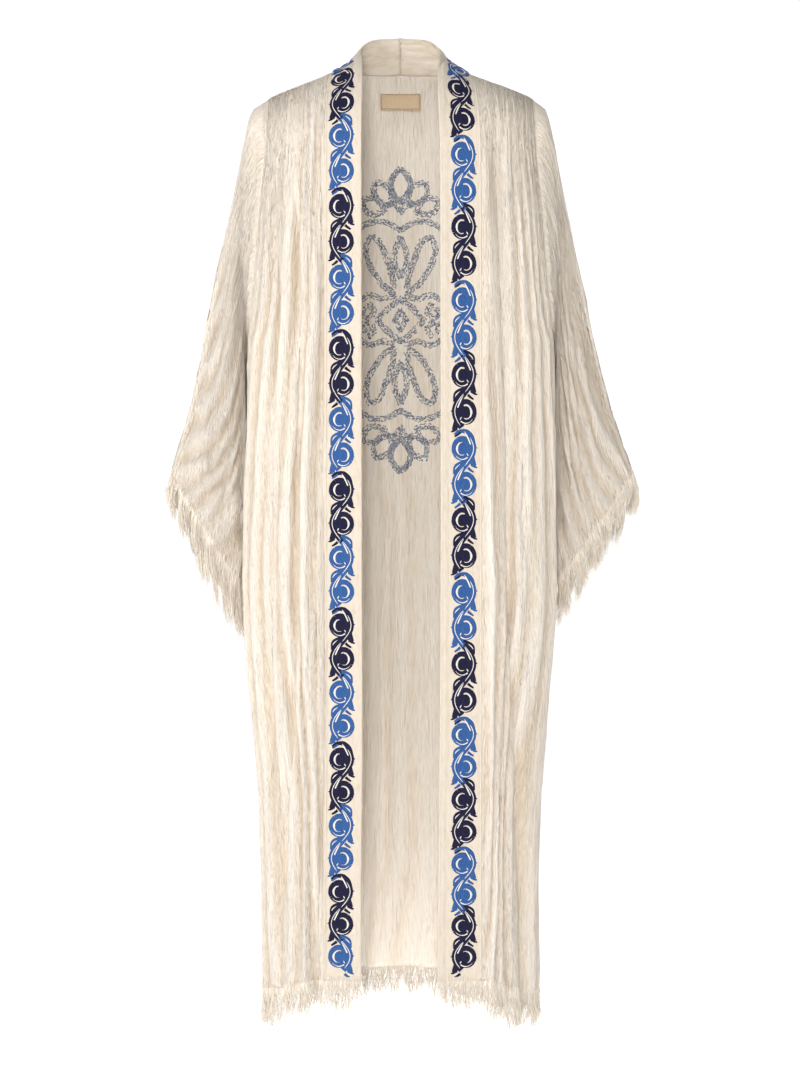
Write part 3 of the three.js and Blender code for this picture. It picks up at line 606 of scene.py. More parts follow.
def relief(points, places, seed, strength, closed=False, seam=9, top=6, slant=0):
    """Pushes the crinkle out along the normals, less near seams and folds; gives points and heights."""
    height = crinkle(places[..., 0] + slant, places[..., 1], seed) * strength
    height = height * smooth(lengths(points, 0), 0, top)
    across = lengths(points, 1)
    left = across[:, -1:] - across
    if closed:
        from_fold = np.abs(across - across[:, [points.shape[1] // 2]])
        near = np.minimum(np.minimum(across, left), from_fold)
        height = height * (FOLD_KEEPS + (1 - FOLD_KEEPS) * smooth(near, 0, FOLD_REACH))
    else:
        height = height * smooth(across, 0, seam) * smooth(left, 0, seam)
    return points + grid_normals(points, closed) * height[..., None], height


def sheet_piece(name, points, places, height, material=gauze, slot="gauze", wall=GAUZE_WALL, closed=False):
    mesh, i, j = grid_mesh(name, *points.shape[:2])
    fill_mesh(mesh, i, j, points, places)
    # the height attribute feeds the painted shade of the cotton materials
    mesh.attributes.new("height", "FLOAT", "POINT").data.foreach_set("value", height[i, j])
    if closed:
        weld(mesh)
    piece = add_piece(mesh, material, slot)
    thickness = piece.modifiers.new("wall", "SOLIDIFY")
    thickness.thickness, thickness.offset = wall * MM, -1
    # the inner wall of the gauze gets the brighter inside material, painted light for the inside
    if material == gauze:
        mesh.materials.append(gauze_inside_painted_light)
        thickness.material_offset = 1
    return piece


print("wall of the gauze:", GAUZE_WALL, "mm")

# %% Fronts
HIP_ROW = ROLL_ROWS + ARM_ROWS + 30
front_points = {}
for name, side in SIDES.items():
    points = outward(front_form[side])
    places = cloth_places(points, HIP_ROW)
    front_points[side], height = relief(points, places, seed=10 + side, strength=1.3)
    sheet_piece("front_" + name + "_cloth", front_points[side], places, height)
    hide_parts("front_" + name)

# %% Back
BACK_CREASES = table(  # x where a crease of the lower back starts and at the hem, depth, half-width
    "start hem deep wide",
    (27, 36, 4.5, 6),
    (40, 47, -4.0, 5),
    (-12, -30, 3.0, 11),
    (-44, -50, -3.5, 7),
    (6, 8, -2.0, 8),
)
CREASE_TOP, CREASE_FULL, CREASE_END = 470, 620, 1180
BACK_RELIEF, CALM_AT_LABEL = 0.85, 0.88
points = outward(back_form)
places = cloth_places(points, HIP_ROW)
fallen = smooth(-points[..., 2], CREASE_TOP, CREASE_END)
for crease in BACK_CREASES:
    off = (points[..., 0] - lerp(crease["start"], crease["hem"], fallen)) / crease["wide"]
    points[..., 1] -= crease["deep"] * np.exp(-off * off) * smooth(-points[..., 2], CREASE_TOP, CREASE_FULL)
near_label = np.exp(-((points[..., 0] / 60) ** 4)) * smooth(points[..., 2], -90, -60)
strength = BACK_RELIEF * (1 - CALM_AT_LABEL * near_label)
back_points, height = relief(points, places, 30, strength)
sheet_piece("back_cloth", back_points, places, height)
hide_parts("back")

# %% [markdown]
# ## Sleeves
# A kimono sleeve is a wide flat tube sewn to the armhole. When the arm hangs, it falls into a lens between
# the fold along the top and the fold underneath. Each point starts on the armhole and moves over to that
# lens in the first part of the sleeve, and the sleeve always stays outside the body. Near the fold on top
# the height and the width move over together, so that the shoulder stays round.

# %% Tables of the sleeves
SLEEVE = table(
    "t topRight topLeft under puff",
    (0, 185, 185, 198, 43),
    (0.04, 198, 194, 203, 42),
    (0.1, 205, 201, 205, 41),
    (0.235, 218, 213, 203, 40),
    (0.473, 243, 237, 200, 36),
    (0.66, 259, 256, 200, 33),
    (0.84, 280, 279, 202, 29),
    (1, 303, 307, 208, 24),
)
CUFF_TOP_Z, CUFF_UNDER_Z = -538, {-1: -690, 1: -678}
SLEEVE_CENTRE_Y = dict(root=6, cuff=0)
SLEEVE_BLEND, SLEEVE_WIDENS, SLEEVE_LEAVES, SLEEVE_STARTS = 0.14, 0.02, 0.06, 0.045  # shares of its run
SLEEVE_CLEAR, ROUND_SHOULDER = 5, 0.3
SLEEVE_FULLNESS, PUFF_FOR_FOLDS, SLEEVE_FADE, NEAR_FULL = 0.42, 30, 63, 0.98
SLEEVE_FOLDS = table(
    "face side start end wide deep",
    ("front", -1, [209, -220], [208, -640], 7, 13),
    ("front", -1, [216, -320], [249, -417], 9, -7),
    ("front", -1, [249, -417], [268, -590], 10, -8),
    ("front", -1, [232, -310], [284, -540], 8, 6),
    ("front", -1, [216, -440], [238, -620], 9, 7),
    ("front", 1, [210, -110], [209, -640], 7, 14),
    ("front", 1, [240, -330], [260, -560], 10, -8),
    ("front", 1, [226, -300], [238, -600], 8, 7),
    ("front", 1, [250, -350], [284, -520], 8, 5),
    ("back", -1, [209, -240], [212, -640], 8, 6),
    ("back", -1, [236, -340], [264, -570], 10, 5),
    ("back", 1, [209, -200], [213, -630], 8, 11),
    ("back", 1, [234, -320], [266, -560], 10, 7),
)


def sleeve_fold_depth(side, x, z, front):
    total = np.zeros(np.broadcast(x, z).shape)
    for fold in SLEEVE_FOLDS:
        if fold["side"] != side:
            continue
        (x0, z0), (x1, z1) = fold["start"], fold["end"]
        run_x, run_z = x1 - x0, z1 - z0
        length = math.hypot(run_x, run_z)
        along = ((x - x0) * run_x + (z - z0) * run_z) / length
        off = ((x - x0) * run_z - (z - z0) * run_x) / length / fold["wide"]
        fade = smooth(along, 0, SLEEVE_FADE) * smooth(length - along, 0, SLEEVE_FADE)
        here = front if fold["face"] == "front" else ~front
        total = total + np.where(here, fold["deep"] * np.exp(-off * off) * fade, 0)
    return total


def body_half_width(y, z):
    front = y < CENTRE_Y
    depth = np.where(front, read(BODY, "z", "front", z), read(BODY, "z", "back", z))
    deep = np.minimum(np.abs(y - CENTRE_Y), depth * NEAR_FULL)
    fold = read(BODY, "z", "valley", z) * np.exp(-((deep / VALLEY_WIDTH) ** 2))
    return conjugate(deep, depth, read(BODY, "z", "half", z)) - fold


print("folds on the sleeves:", len(SLEEVE_FOLDS))

# %% Sleeve grids
SLEEVE_ROLL, SLEEVE_ARM, SLEEVE_ROWS = 26, 110, 84
SLEEVE_SLANT = {-1: 0.42, 1: 0.2}  # sideways run of the crinkles for each mm down the sleeve
SLANT_TURNS, FAN, FAN_GROWS = 20, 0.4, 0.0012


def armhole(side, face):
    """The armhole's edge of one face, from the shoulder down to the underarm."""
    start = SEAM_FORWARD if face == "front" else -SEAM_FORWARD
    turn = np.concatenate([np.linspace(start, 90, SLEEVE_ROLL + 1), np.full(SLEEVE_ARM, 90.0)])
    arm = underarm_fall(side) * np.linspace(0, 1, SLEEVE_ARM + 1)[1:]
    return body_points(face, side, np.ones(1), turn, np.concatenate([np.zeros(SLEEVE_ROLL + 1), arm]))


def sleeve_form(side):
    front, back = armhole(side, "front"), armhole(side, "back")
    station = np.concatenate([front[::-1], back[1:]])
    is_front = np.arange(len(station)) < len(front)
    t = np.linspace(0, 1, SLEEVE_ROWS + 1)[:, None]
    tip = float(shoulder_at(side, np.ones(1))[0][0])
    chord = np.clip((tip - station[:, 2]) / (tip - UNDERARM_Z), 0, 1)[None, :]
    top = read(SLEEVE, "t", "topRight" if side < 0 else "topLeft", t)
    x = lerp(top, read(SLEEVE, "t", "under", t), chord)
    z = lerp(lerp(tip, CUFF_TOP_Z, t), lerp(UNDERARM_Z, CUFF_UNDER_Z[side], t), chord)
    puff = read(SLEEVE, "t", "puff", t) * (4 * chord * (1 - chord)) ** SLEEVE_FULLNESS
    pressed = sleeve_fold_depth(side, x, z, np.broadcast_to(is_front, x.shape))
    pressed = pressed * np.minimum(puff / PUFF_FOR_FOLDS, 1)
    away = np.where(is_front, -1, 1)[None, :]
    centre = lerp(SLEEVE_CENTRE_Y["root"], SLEEVE_CENTRE_Y["cuff"], t)
    blend, leave = smooth(t, 0, SLEEVE_BLEND), smooth(t, 0, SLEEVE_LEAVES)
    y = lerp(station[None, :, 1], centre + away * (puff - pressed), blend)
    below = smooth(chord, 0, ROUND_SHOULDER)
    level = lerp(station[None, :, 2], z, lerp(1, blend, below))
    widened = lerp(smooth(t, 0, SLEEVE_WIDENS), blend, below)
    own = np.abs(station[None, :, 0])
    body = lerp(own, body_half_width(y, level) + SLEEVE_CLEAR * leave, smooth(t, 0, SLEEVE_STARTS))
    out = soft_max(lerp(own, x, widened), body, SLEEVE_CLEAR * leave)
    points = np.stack([side * out, y, level], axis=-1)
    points[:, -1] = points[:, 0]
    return points


print("rows and columns of a sleeve:", sleeve_form(1).shape[:2])

# %% Sleeves
sleeve_points = {}
for name, side in SIDES.items():
    form = outward(sleeve_form(side), closed=True)
    places = cloth_places(form, SLEEVE_ROWS // 2)
    face = np.clip((SLEEVE_CENTRE_Y["root"] - form[..., 1]) / SLANT_TURNS, -1, 1)
    outwards = np.sign((np.gradient(np.abs(form[..., 0]), axis=1) * face).sum())
    fanned = FAN * places[..., 1] + FAN_GROWS * places[..., 1] ** 2
    slant = -SLEEVE_SLANT[side] * outwards * face * fanned
    sleeve_points[side], height = relief(form, places, 50 + side, 1.1, closed=True, top=10, slant=slant)
    sleeve_points[side][:, -1] = sleeve_points[side][:, 0]
    piece = sheet_piece("sleeve_" + name + "_cloth", sleeve_points[side], places, height, closed=True)
    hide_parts("sleeve_" + name + "_front", "sleeve_" + name + "_back")
    print("sleeve", name, "area", round(area_of(sleeve_points[side]), 3), "m2")

# %% [markdown]
# ## Front bands and collar
# The band is one long strip folded double. It is sewn to the neck edge and to both fronts, stands up
# behind the neck and lies flat down the front. A table gives its lean and its turn along the seam, so it
# rolls from standing to lying as it passes the shoulder. The left band shows its folded edge as a raised
# strip, and both bands have a line of topstitching near each edge.

# %% Tables of the bands
BAND = table(
    "run lean turn right left",
    (-110, 83, 90, 49, 49),
    (-73, 72, 35, 49, 49),
    (-43, 54, 10, 49, 49),
    (-15, 38, 2, 50, 50),
    (9, 30, 2, 49, 50),
    (30, 22, 4, 48, 51),
    (60, 10, 6, 48, 53),
    (100, 2, 7, 47.5, 54),
    (700, 0, 7, 48, 54),
    (1200, 0, 7, 48, 58),
)
NECK_RUN, FRONT_ROLL_RUN, BAND_COLUMNS = 110, 100, 30
BAND_WALL, EDGE_ROUND, EDGE_DROP, LYING_ROWS = 2.0, 2.2, 1.1, 40
FOLDED_STRIP = dict(wide=9, high=0.9)
CREASED = dict(across=10, along=70, high=3.4)  # the collar
PUCKERED = dict(across=16, along=5.5, high=0.35)  # the fronts
STITCHED = dict(inset=3.6, half=1.0, deep=0.45)


def band_seam(side):
    neck, front = back_half[side][0, :NECK_COLUMNS], front_form[side][:, 0]
    hanging = front[ROLL_ROWS, 2]
    rolled = lerp(SEAM_FORWARD, 90, np.arange(ROLL_ROWS + 1) / ROLL_ROWS) / 90 * FRONT_ROLL_RUN
    fallen = FRONT_ROLL_RUN + hanging - front[ROLL_ROWS + 1:, 2]
    return np.concatenate([neck, front]), np.concatenate([-NECK_TURNS / 90 * NECK_RUN, rolled, fallen])


def band_form(side):
    seam, run = band_seam(side)
    lean = np.radians(read(BAND, "run", "lean", run))
    turn = np.radians(read(BAND, "run", "turn", run))
    width = read(BAND, "run", "right" if side < 0 else "left", run)
    flat = np.cos(lean)
    inward = np.stack([-side * np.cos(turn) * flat, -np.sin(turn) * flat, np.sin(lean)], axis=-1)
    share = np.linspace(0, 1, BAND_COLUMNS + 1)
    return seam[:, None, :] + inward[:, None, :] * (width[:, None] * share[None, :])[..., None]


def band_outward(points):
    """Outside is away from the neck's middle behind it, and to the front down the fronts."""
    normal = grid_normals(points)
    return normal if normal[-LYING_ROWS:, :, 1].mean() < 0 else -normal


print("rows and columns of a band:", band_form(1).shape[:2])

# %% Bands
band_points, band_normals = {}, {}
for name, side in SIDES.items():
    form = band_form(side)
    normal = band_outward(form)
    across, along = lengths(form, 1), lengths(form, 0)
    width = across[:, -1:]
    neck_share = smooth(form[..., 2], -60, 10)
    wander = across + 5 * lattice_noise(along / 38, across / 30, 78 + side)
    soft = lattice_noise(wander / CREASED["across"], along / CREASED["along"], 70 + side)
    soft = CREASED["high"] * (np.sqrt(np.abs(soft)) - 0.55) * neck_share
    pucker = lattice_noise(along / PUCKERED["along"], across / PUCKERED["across"], 74 + side)
    pucker = PUCKERED["high"] * pucker * (1 - neck_share)
    near_edge = np.minimum(across, width - across)
    rounding = -EDGE_DROP * (1 - np.clip(near_edge / EDGE_ROUND, 0, 1)) ** 2
    stitched = -STITCHED["deep"] * np.exp(-(((near_edge - STITCHED["inset"]) / STITCHED["half"]) ** 2))
    raised = 0
    if side > 0:
        raised = FOLDED_STRIP["high"] * smooth(across - (width - FOLDED_STRIP["wide"]), -0.6, 0.6)
    height = soft + pucker + rounding + stitched + raised
    band_points[side] = form + normal * height[..., None]
    band_normals[side] = normal
    order = 1 if (grid_normals(band_points[side]) * normal).sum() > 0 else -1
    laid, soft = band_points[side][:, ::order], soft[:, ::order]
    places = cloth_places(laid, len(laid) // 2)
    # the collar's crease height goes to the height attribute, from which band_cotton paints shade into the
    # creases
    piece = sheet_piece("band_" + name + "_cloth", laid, places, soft, band_cotton, "band", BAND_WALL)
    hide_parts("band_" + name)
    print("band", name, "length", round(float(along[-1].mean())), "mm, area", round(area_of(laid), 3))


# %% A place on a band
def middle_run(side):
    """Distance from the centre back along the middle of a band, row by row."""
    return lengths(band_points[side], 0)[:, BAND_COLUMNS // 2]


def band_place(side, along, across, lift):
    """Points lifted off a band: along from the centre back and across from its seam, in mm."""
    points, middle = band_points[side], middle_run(side)
    row = np.interp(along, middle, np.arange(len(middle)))
    width = np.interp(row, np.arange(len(middle)), lengths(points, 1)[:, -1])
    column = np.clip(across / width, 0, 1) * BAND_COLUMNS
    i, j = np.minimum(row.astype(int), len(middle) - 2), np.minimum(column.astype(int), BAND_COLUMNS - 1)
    a, b = (row - i)[..., None], (column - j)[..., None]

    def mix(grid):
        return lerp(lerp(grid[i, j], grid[i, j + 1], b), lerp(grid[i + 1, j], grid[i + 1, j + 1], b), a)

    return mix(points) + unit(mix(band_normals[side])) * np.asarray(lift)[..., None]


print("middles of the bands:", [round(float(middle_run(side)[-1])) for side in SIDES.values()], "mm")

# %% [markdown]
# ## Embroidery on the bands
# A running scroll is one of the oldest border patterns: a stem waves from side to side and a curl fills
# each bend. On the robe it is worked in heavy chain stitch, so it stands up from the cloth. We draw each
# stroke as a line with a width, turn it into a low domed ribbon of mesh, and lay the ribbon on the band.
# Blue and navy thread take turns every two bends, and light lines of thread run inside the dark ones.

# %% Ribbons
RIBBON_ROWS, RIBBON_COLUMNS = 15, 5


def resample(line, count):
    """A smooth line of (along, across, width) points at even steps."""
    line = np.asarray(line, float)
    at = lengths(line[:, :2], 0)
    rows = [{"s": a, "p": p, "q": q, "w": w} for a, (p, q, w) in zip(at, line)]
    s = np.linspace(0, at[-1], count)
    return np.stack([read(rows, "s", key, s) for key in ("p", "q", "w")], axis=-1)


def directions(line):
    """Along a flat line and to its left, at each of its points."""
    ahead = unit(np.gradient(line, axis=0))
    return ahead, np.stack([-ahead[:, 1], ahead[:, 0]], axis=-1)


def ribbon_grid(line, high, base):
    """Grids of along, across and lift for a line with half-widths, and its place as a UV."""
    centre, half = line[:, :2], line[:, 2]
    side = directions(centre)[1]
    c = np.linspace(-1, 1, RIBBON_COLUMNS)
    flat = centre[:, None, :] + side[:, None, :] * (half[:, None] * c[None, :])[..., None]
    dome = np.sqrt(np.maximum(1 - c * c, 0))[None, :] * np.minimum(half[:, None] / 1.2, 1)
    lift = base + high * dome
    run = lengths(centre, 0)
    place = np.stack([half[:, None] * c[None, :], np.broadcast_to(run[:, None], lift.shape)], axis=-1)
    return flat, lift, place


def ribbons(name, placed, material, slot):
    """One mesh from a list of (points, place) ribbons of equal rows and columns."""
    points = np.concatenate([p for p, _ in placed])
    places = np.concatenate([q for _, q in placed])
    mesh, i, j = grid_mesh(name, *placed[0][0].shape[:2], strips=len(placed))
    fill_mesh(mesh, i, j, points, places)
    return add_piece(mesh, material, slot)


print("rows and columns of a ribbon:", RIBBON_ROWS, RIBBON_COLUMNS)

# %% Strokes of one bend
HALF_WAVE, WAVE_HIGH, STEM_HALF, VEIN_HALF, VEIN_ASIDE = 45.7, 12.0, 4.3, 0.7, 0.4
VEIN_TAPER = [0.25, 0.4, 0.55]
CURL = dict(p=0.6, q=-2.6, tall=1.2)
STROKES = table(  # round the curl's centre: radius and turn at start and end, half-widths
    "thread r0 a0 r1 a1 w0 w1",
    ("dark", 3.4, -20, 3.4, 170, 3.7, 3.7),
    ("dark", 3.4, 160, 3.4, 350, 3.7, 3.7),
    ("dark", 9.6, 60, 10.6, -60, 3.4, 3.4),
    ("dark", 10.6, -60, 10.8, -150, 3.4, 3.2),
    ("dark", 10.8, -150, 11.0, -215, 3.2, 3.6),
    ("dark", 9.3, 30, 9.3, 150, 3.4, 3.4),
    ("light", 7.1, -18, 6.9, -95, 0.25, 1.45),
    ("light", 6.9, -95, 6.6, -178, 1.45, 0.35),
    ("light", 11.5, 38, 11.0, -62, 0.85, 0.3),
)
LEAVES = table(  # curved strokes beside the stem: start, middle and end, half-widths
    "thread p q w",
    ("dark", [-29, -22, -12], [-1, 10.2, 13.6], [2.4, 3.3, 1.0]),
    ("dark", [9, 17, 22.5], [11, 11.5, 12.6], [2.0, 3.6, 3.7]),
    ("dark", [20.5, 23.5, 24.8], [11, 14, 17.4], [2.7, 1.7, 0.7]),
    ("dark", [25, 28, 30.6], [5, 8.5, 12.5], [1.9, 1.6, 1.1]),
    ("dark", [-1.6, -1, 0], [13.5, 15.6, 17.6], [2.0, 1.1, 0.4]),
    ("dark", [1, 2, 2.6], [-13, -15.4, -17], [1.8, 1.0, 0.4]),
    ("light", [-26, -21.5, -17], [4.3, 10.0, 12.6], [0.25, 0.8, 0.25]),
    ("light", [-21, -14, -5], [0.6, 4.6, 8.6], [0.4, 0.95, 0.85]),
    ("light", [6.5, 8.2, 10], [3.4, 4.6, 5.2], [0.4, 0.9, 0.5]),
)
HORN = table(  # the first bend of a repeat starts with a horn instead of the stem's crossing
    "thread p q w",
    ("dark", [-12, -20.5, -22.3], [9, 4, -2], [3.5, 3.2, 2.6]),
    ("dark", [-22, -21, -17], [-1, -7.5, -12.5], [2.7, 2.3, 1.7]),
    ("dark", [-13, -9, -9], [3, -1, -6], [2.6, 2.5, 2.0]),
    ("dark", [-8, -16, -22], [12.2, 10.2, 6.6], [2.9, 2.2, 0.7]),
)


print("strokes in a bend:", len(STROKES) + len(LEAVES) + 2)


# %% One bend of the scroll
def bend_strokes(sign, first, last):
    """Lines of one bend as (thread, points), with the stem bulging to the side of the sign."""
    made = []
    s = np.linspace(0, 1, 19)
    for r in STROKES:
        radius, turn = lerp(r["r0"], r["r1"], s), np.radians(lerp(r["a0"], r["a1"], s))
        p, q = CURL["p"] + CURL["tall"] * radius * np.cos(turn), CURL["q"] + radius * np.sin(turn)
        made.append((r["thread"], np.stack([p, q, lerp(r["w0"], r["w1"], s)], axis=-1)))
    beside = LEAVES[1:] if first else LEAVES
    for leaf in beside + (HORN if first else []):
        made.append((leaf["thread"], np.stack([leaf["p"], leaf["q"], leaf["w"]], axis=-1)))
    ends = (-0.34 if first else -0.54, 0.42 if last else 0.54)
    p = np.linspace(*ends, 21) * HALF_WAVE
    wave = WAVE_HIGH * np.cos(math.pi * p / HALF_WAVE)
    made.append(("dark", np.stack([p, wave, np.full_like(p, STEM_HALF)], axis=-1)))
    light = np.full_like(p, VEIN_HALF)
    light[:3], light[-3:] = VEIN_TAPER, VEIN_TAPER[::-1]
    made.append(("light", np.stack([p, wave + VEIN_ASIDE, light], axis=-1)))
    return [(thread, line * [1, sign, 1]) for thread, line in made]


print("the same with a horn:", len(bend_strokes(1, True, False)))

# %% Laying the scroll along the bands
SCROLL = table(  # the middle's distance from the seam, the first bend's side, where repeats start
    "side centre start starts colours tail",
    (-1, 21.5, 1, [-171, -355, -538, -713, -886, -1056], ("navy", "blue"), 3),
    (1, 23.5, -1, [-103, -292, -484, -668, -854, -1021], ("blue", "navy"), 4),
)
SCROLL_ENDS, BENDS_IN_REPEAT = -1181, 4
LIFTS = {"dark": (0.75, 0.05), "light": (0.5, 0.62)}
threads = {"navy": [], "blue": [], "cream": []}
for plan in SCROLL:
    side = plan["side"]
    middle_line = band_points[side][:, BAND_COLUMNS // 2]
    run = middle_run(side)
    front = run > NECK_RUN
    starts = np.interp(-np.array(plan["starts"]), -middle_line[front, 2], run[front])
    repeat = starts[1] - starts[0]
    last_end = float(np.interp(-SCROLL_ENDS, -middle_line[front, 2], run[front]))
    after = starts[-1] + (last_end - starts[-1]) * BENDS_IN_REPEAT / plan["tail"]
    starts = np.concatenate([[starts[0] - 2 * repeat, starts[0] - repeat], starts, [after]])
    for bend in range(BENDS_IN_REPEAT * (len(starts) - 1)):
        place = np.interp([bend, bend + 1], BENDS_IN_REPEAT * np.arange(len(starts)), starts)
        if place[0] < 4 or place[1] > last_end + 1:
            continue
        step = bend % BENDS_IN_REPEAT
        last = step == BENDS_IN_REPEAT - 1 or place[1] > last_end - 1
        for thread, line in bend_strokes(plan["start"] * (-1) ** bend, step == 0, last):
            line = resample(line * [(place[1] - place[0]) / HALF_WAVE, 1, 1], RIBBON_ROWS)
            high, base = LIFTS[thread]
            flat, lift, spot = ribbon_grid(line, high, base)
            along = np.clip(place.mean() + flat[..., 0], 1, last_end + 6)
            points = band_place(side, along, plan["centre"] + flat[..., 1], lift)
            colour = "cream" if thread == "light" else plan["colours"][step // 2]
            threads[colour].append((points, spot))
print({name: len(list_) for name, list_ in threads.items()})

# %% [markdown]
# ## Thread
# Embroidery thread is a little glossy along its length. A wave across the ribbon's run gives the stitches,
# and the same wave lowers the colour in the gaps between them, as painted shade.

# %% Thread materials
def thread_material(name, light, dark, pitch_mm):
    material, tree, shader = new_material(name)
    place = place_on_cloth(tree, 1000 / pitch_mm, 1000 / pitch_mm)
    stitch = waves(tree, place, 0.32, "DIAGONAL", 2.5, detail_scale=1.5)
    both = maths(tree, "MULTIPLY_ADD", stitch, 0.5, noise(tree, place, 0.6, detail=3))
    look = {
        # painted shade: the colour is darker where the stitch wave and noise lower the bump, in the gaps
        # between stitches
        "Base Color": colour_ramp(tree, both, [(0.4, dark), (0.95, light)]),
        "Normal": bump(tree, both, 0.0005, 0.9),
        "Roughness": 0.6,
        "Specular IOR Level": 0.16,
        "Sheen Weight": 0.02,
    }
    connect(tree, shader, look)
    return material


THREADS = {
    "navy": thread_material("navy_thread", (0.011, 0.010, 0.044), (0.004, 0.004, 0.016), 1.1),
    "blue": thread_material("blue_thread", (0.040, 0.125, 0.34), (0.016, 0.055, 0.19), 1.1),
    "cream": thread_material("cream_thread", (0.86, 0.82, 0.76), (0.66, 0.60, 0.52), 0.9),
}
embroidery = {}
for colour, placed in threads.items():
    embroidery[colour] = ribbons("embroidery_" + colour, placed, THREADS[colour], "band")
    print(colour, len(embroidery[colour].data.polygons), "faces")

# %% [markdown]
# ## Fringe
# The hem and the cuffs aren't hemmed: the weft is drawn out and the warp threads hang loose. They cling
# together in wisps, so each thread starts at its own place on the edge and leans towards the middle of
# its wisp as it falls. A thread is a tube with three sides, because there are thousands of them.

# %% Threads from an edge
THREAD_ROWS, THREAD_SIDES = 8, 3
FRINGE = table(  # length, width of a wisp, curl and radius in mm; the rest are shares
    "kind length spread wisp pull curl radius rounded straighten",
    ("hem", 39, 0.2, 11.0, 0.34, 3.4, 0.5, 0.26, 1.0),
    ("cuff", 60, 0.26, 19.0, 0.46, 4.2, 0.5, 0.3, 0.9),
)
THREAD_PITCH, STRAYS, LEAN_UP = 0.4, 0.05, 0.35
FRAYED = dict(share=0.22, least=0.8, most=7)


def thread_plan(plan, end, rng, longer):
    """Where threads start, the middles of their wisps, their leaning and length, for an edge's length."""
    count = int(end / THREAD_PITCH)
    at = np.linspace(0.4, end - 0.4, count) + rng.uniform(-0.15, 0.15, count)
    wisps = np.arange(0.5 * plan["wisp"], end, plan["wisp"])
    wisps = wisps + rng.uniform(-0.28, 0.28, len(wisps)) * plan["wisp"]
    own = np.argmin(np.abs(at[:, None] - wisps[None, :]), axis=1)
    stray = rng.uniform(0, 1, count) < STRAYS
    aside = np.clip(np.abs(at - wisps[own]) / (0.5 * plan["wisp"]), 0, 1)
    pull = plan["pull"] * rng.uniform(0.75, 1.1, count) * np.where(stray, 0.2, 1)
    wisp_length = rng.uniform(1 - 1.3 * plan["spread"], 1 + plan["spread"], len(wisps))[own]
    length = plan["length"] * wisp_length * rng.uniform(0.84, 1.03, count)
    length = length * (1 - plan["rounded"] * aside**2.5)
    if longer is not None:
        length = length * np.interp(at / end, longer[0], longer[1])
    return at, wisps, own, pull, length


print("threads to a metre of edge:", round(1 / (THREAD_PITCH * MM)))


# %% Hanging a thread
def hanging_threads(edge, down, out, kind, seed, longer=None):
    """Centre lines and radii of the threads that hang from an edge given as points in mm."""
    rng = np.random.default_rng(seed)
    plan = next(row for row in FRINGE if row["kind"] == kind)
    run = lengths(edge, 0)
    at, wisps, own, pull, length = thread_plan(plan, run[-1], rng, longer)
    count = len(at)
    along = unit(np.gradient(edge, axis=0))
    root, fall, face, along = (picked(at, run, line)[:, None] for line in (edge, down, out, along))
    lean = (picked(wisps[own], run, edge) - root[:, 0]) * pull[:, None]
    lean[:, 2] *= LEAN_UP
    straight = np.array([0, 0, -1.0])
    s = np.linspace(0, 1, THREAD_ROWS)
    turn = rng.uniform(0, 2 * math.pi, (count, 1))
    wave = rng.uniform(1.6, 3.4, (count, 1))
    sway = (np.sin(turn + wave * s * 2.2) - np.sin(turn)) * plan["curl"]
    depth = (np.cos(turn + wave * s * 1.9) - np.cos(turn)) * plan["curl"] * 0.7
    wisp_sway = rng.normal(0, 0.045, len(wisps))[own] * plan["length"]
    wisp_depth = rng.normal(0, 0.05, len(wisps))[own] * plan["length"]
    step = s[None, :, None]
    bend = plan["straighten"] * step
    heading = fall * (1 - bend) + straight * bend
    frayed = rng.uniform(FRAYED["least"], FRAYED["most"], (count, 1, 1))
    frayed = frayed * (rng.uniform(0, 1, (count, 1, 1)) < FRAYED["share"]) + 1.0
    points = root + heading * step * (length[:, None, None] + frayed) - fall * frayed
    points = points + face * np.minimum(0.25 * frayed, 1.1) * (1 - step) ** 2
    points = points + lean[:, None, :] * smooth(step, 0, 0.75)
    points = points + along * (sway * s + wisp_sway[:, None] * s**2)[..., None]
    layer = rng.uniform(-0.45, 0.35, (count, 1))
    points = points + face * (layer + depth * s + wisp_depth[:, None] * s**2)[..., None]
    radius = plan["radius"] * rng.uniform(0.75, 1.15, (count, 1)) * (1 - 0.55 * s**2)
    radius[:, -1] = 0
    return points, np.broadcast_to(radius, points.shape[:2])


print("kinds of fringe:", [row["kind"] for row in FRINGE])


# %% Tubes along the threads
def thread_tubes(name, lines, material):
    """One mesh of thin tubes along lines of equal rows; each closes to a point at its end."""
    centres = np.concatenate([line for line, _ in lines])
    radius = np.concatenate([r for _, r in lines])
    tangent = unit(np.gradient(centres, axis=1))
    across = unit(np.cross(tangent, np.array([0.31, 0.9, 0.3])))
    other = np.cross(tangent, across)
    angle = np.linspace(0, 2 * math.pi, THREAD_SIDES + 1)
    ring = across[..., None, :] * np.cos(angle)[:, None] + other[..., None, :] * np.sin(angle)[:, None]
    points = centres[:, :, None, :] + ring * radius[..., None, None]
    points[..., -1, :] = points[..., 0, :]
    count, rows = centres.shape[:2]
    round_it = THREAD_SIDES + 1
    run = np.broadcast_to(np.linspace(0, 1, rows)[None, :, None] * 40, (count, rows, round_it))
    shade = np.broadcast_to(np.arange(count)[:, None, None] * 3.7, run.shape)
    places = np.stack([shade, run], axis=-1)
    mesh, i, j = grid_mesh(name, rows, round_it, strips=count)
    fill_mesh(mesh, i, j, points.reshape(-1, round_it, 3), places.reshape(-1, round_it, 2))
    weld(mesh)
    return add_piece(mesh, material, "fringe")


print("sides of a thread:", THREAD_SIDES)

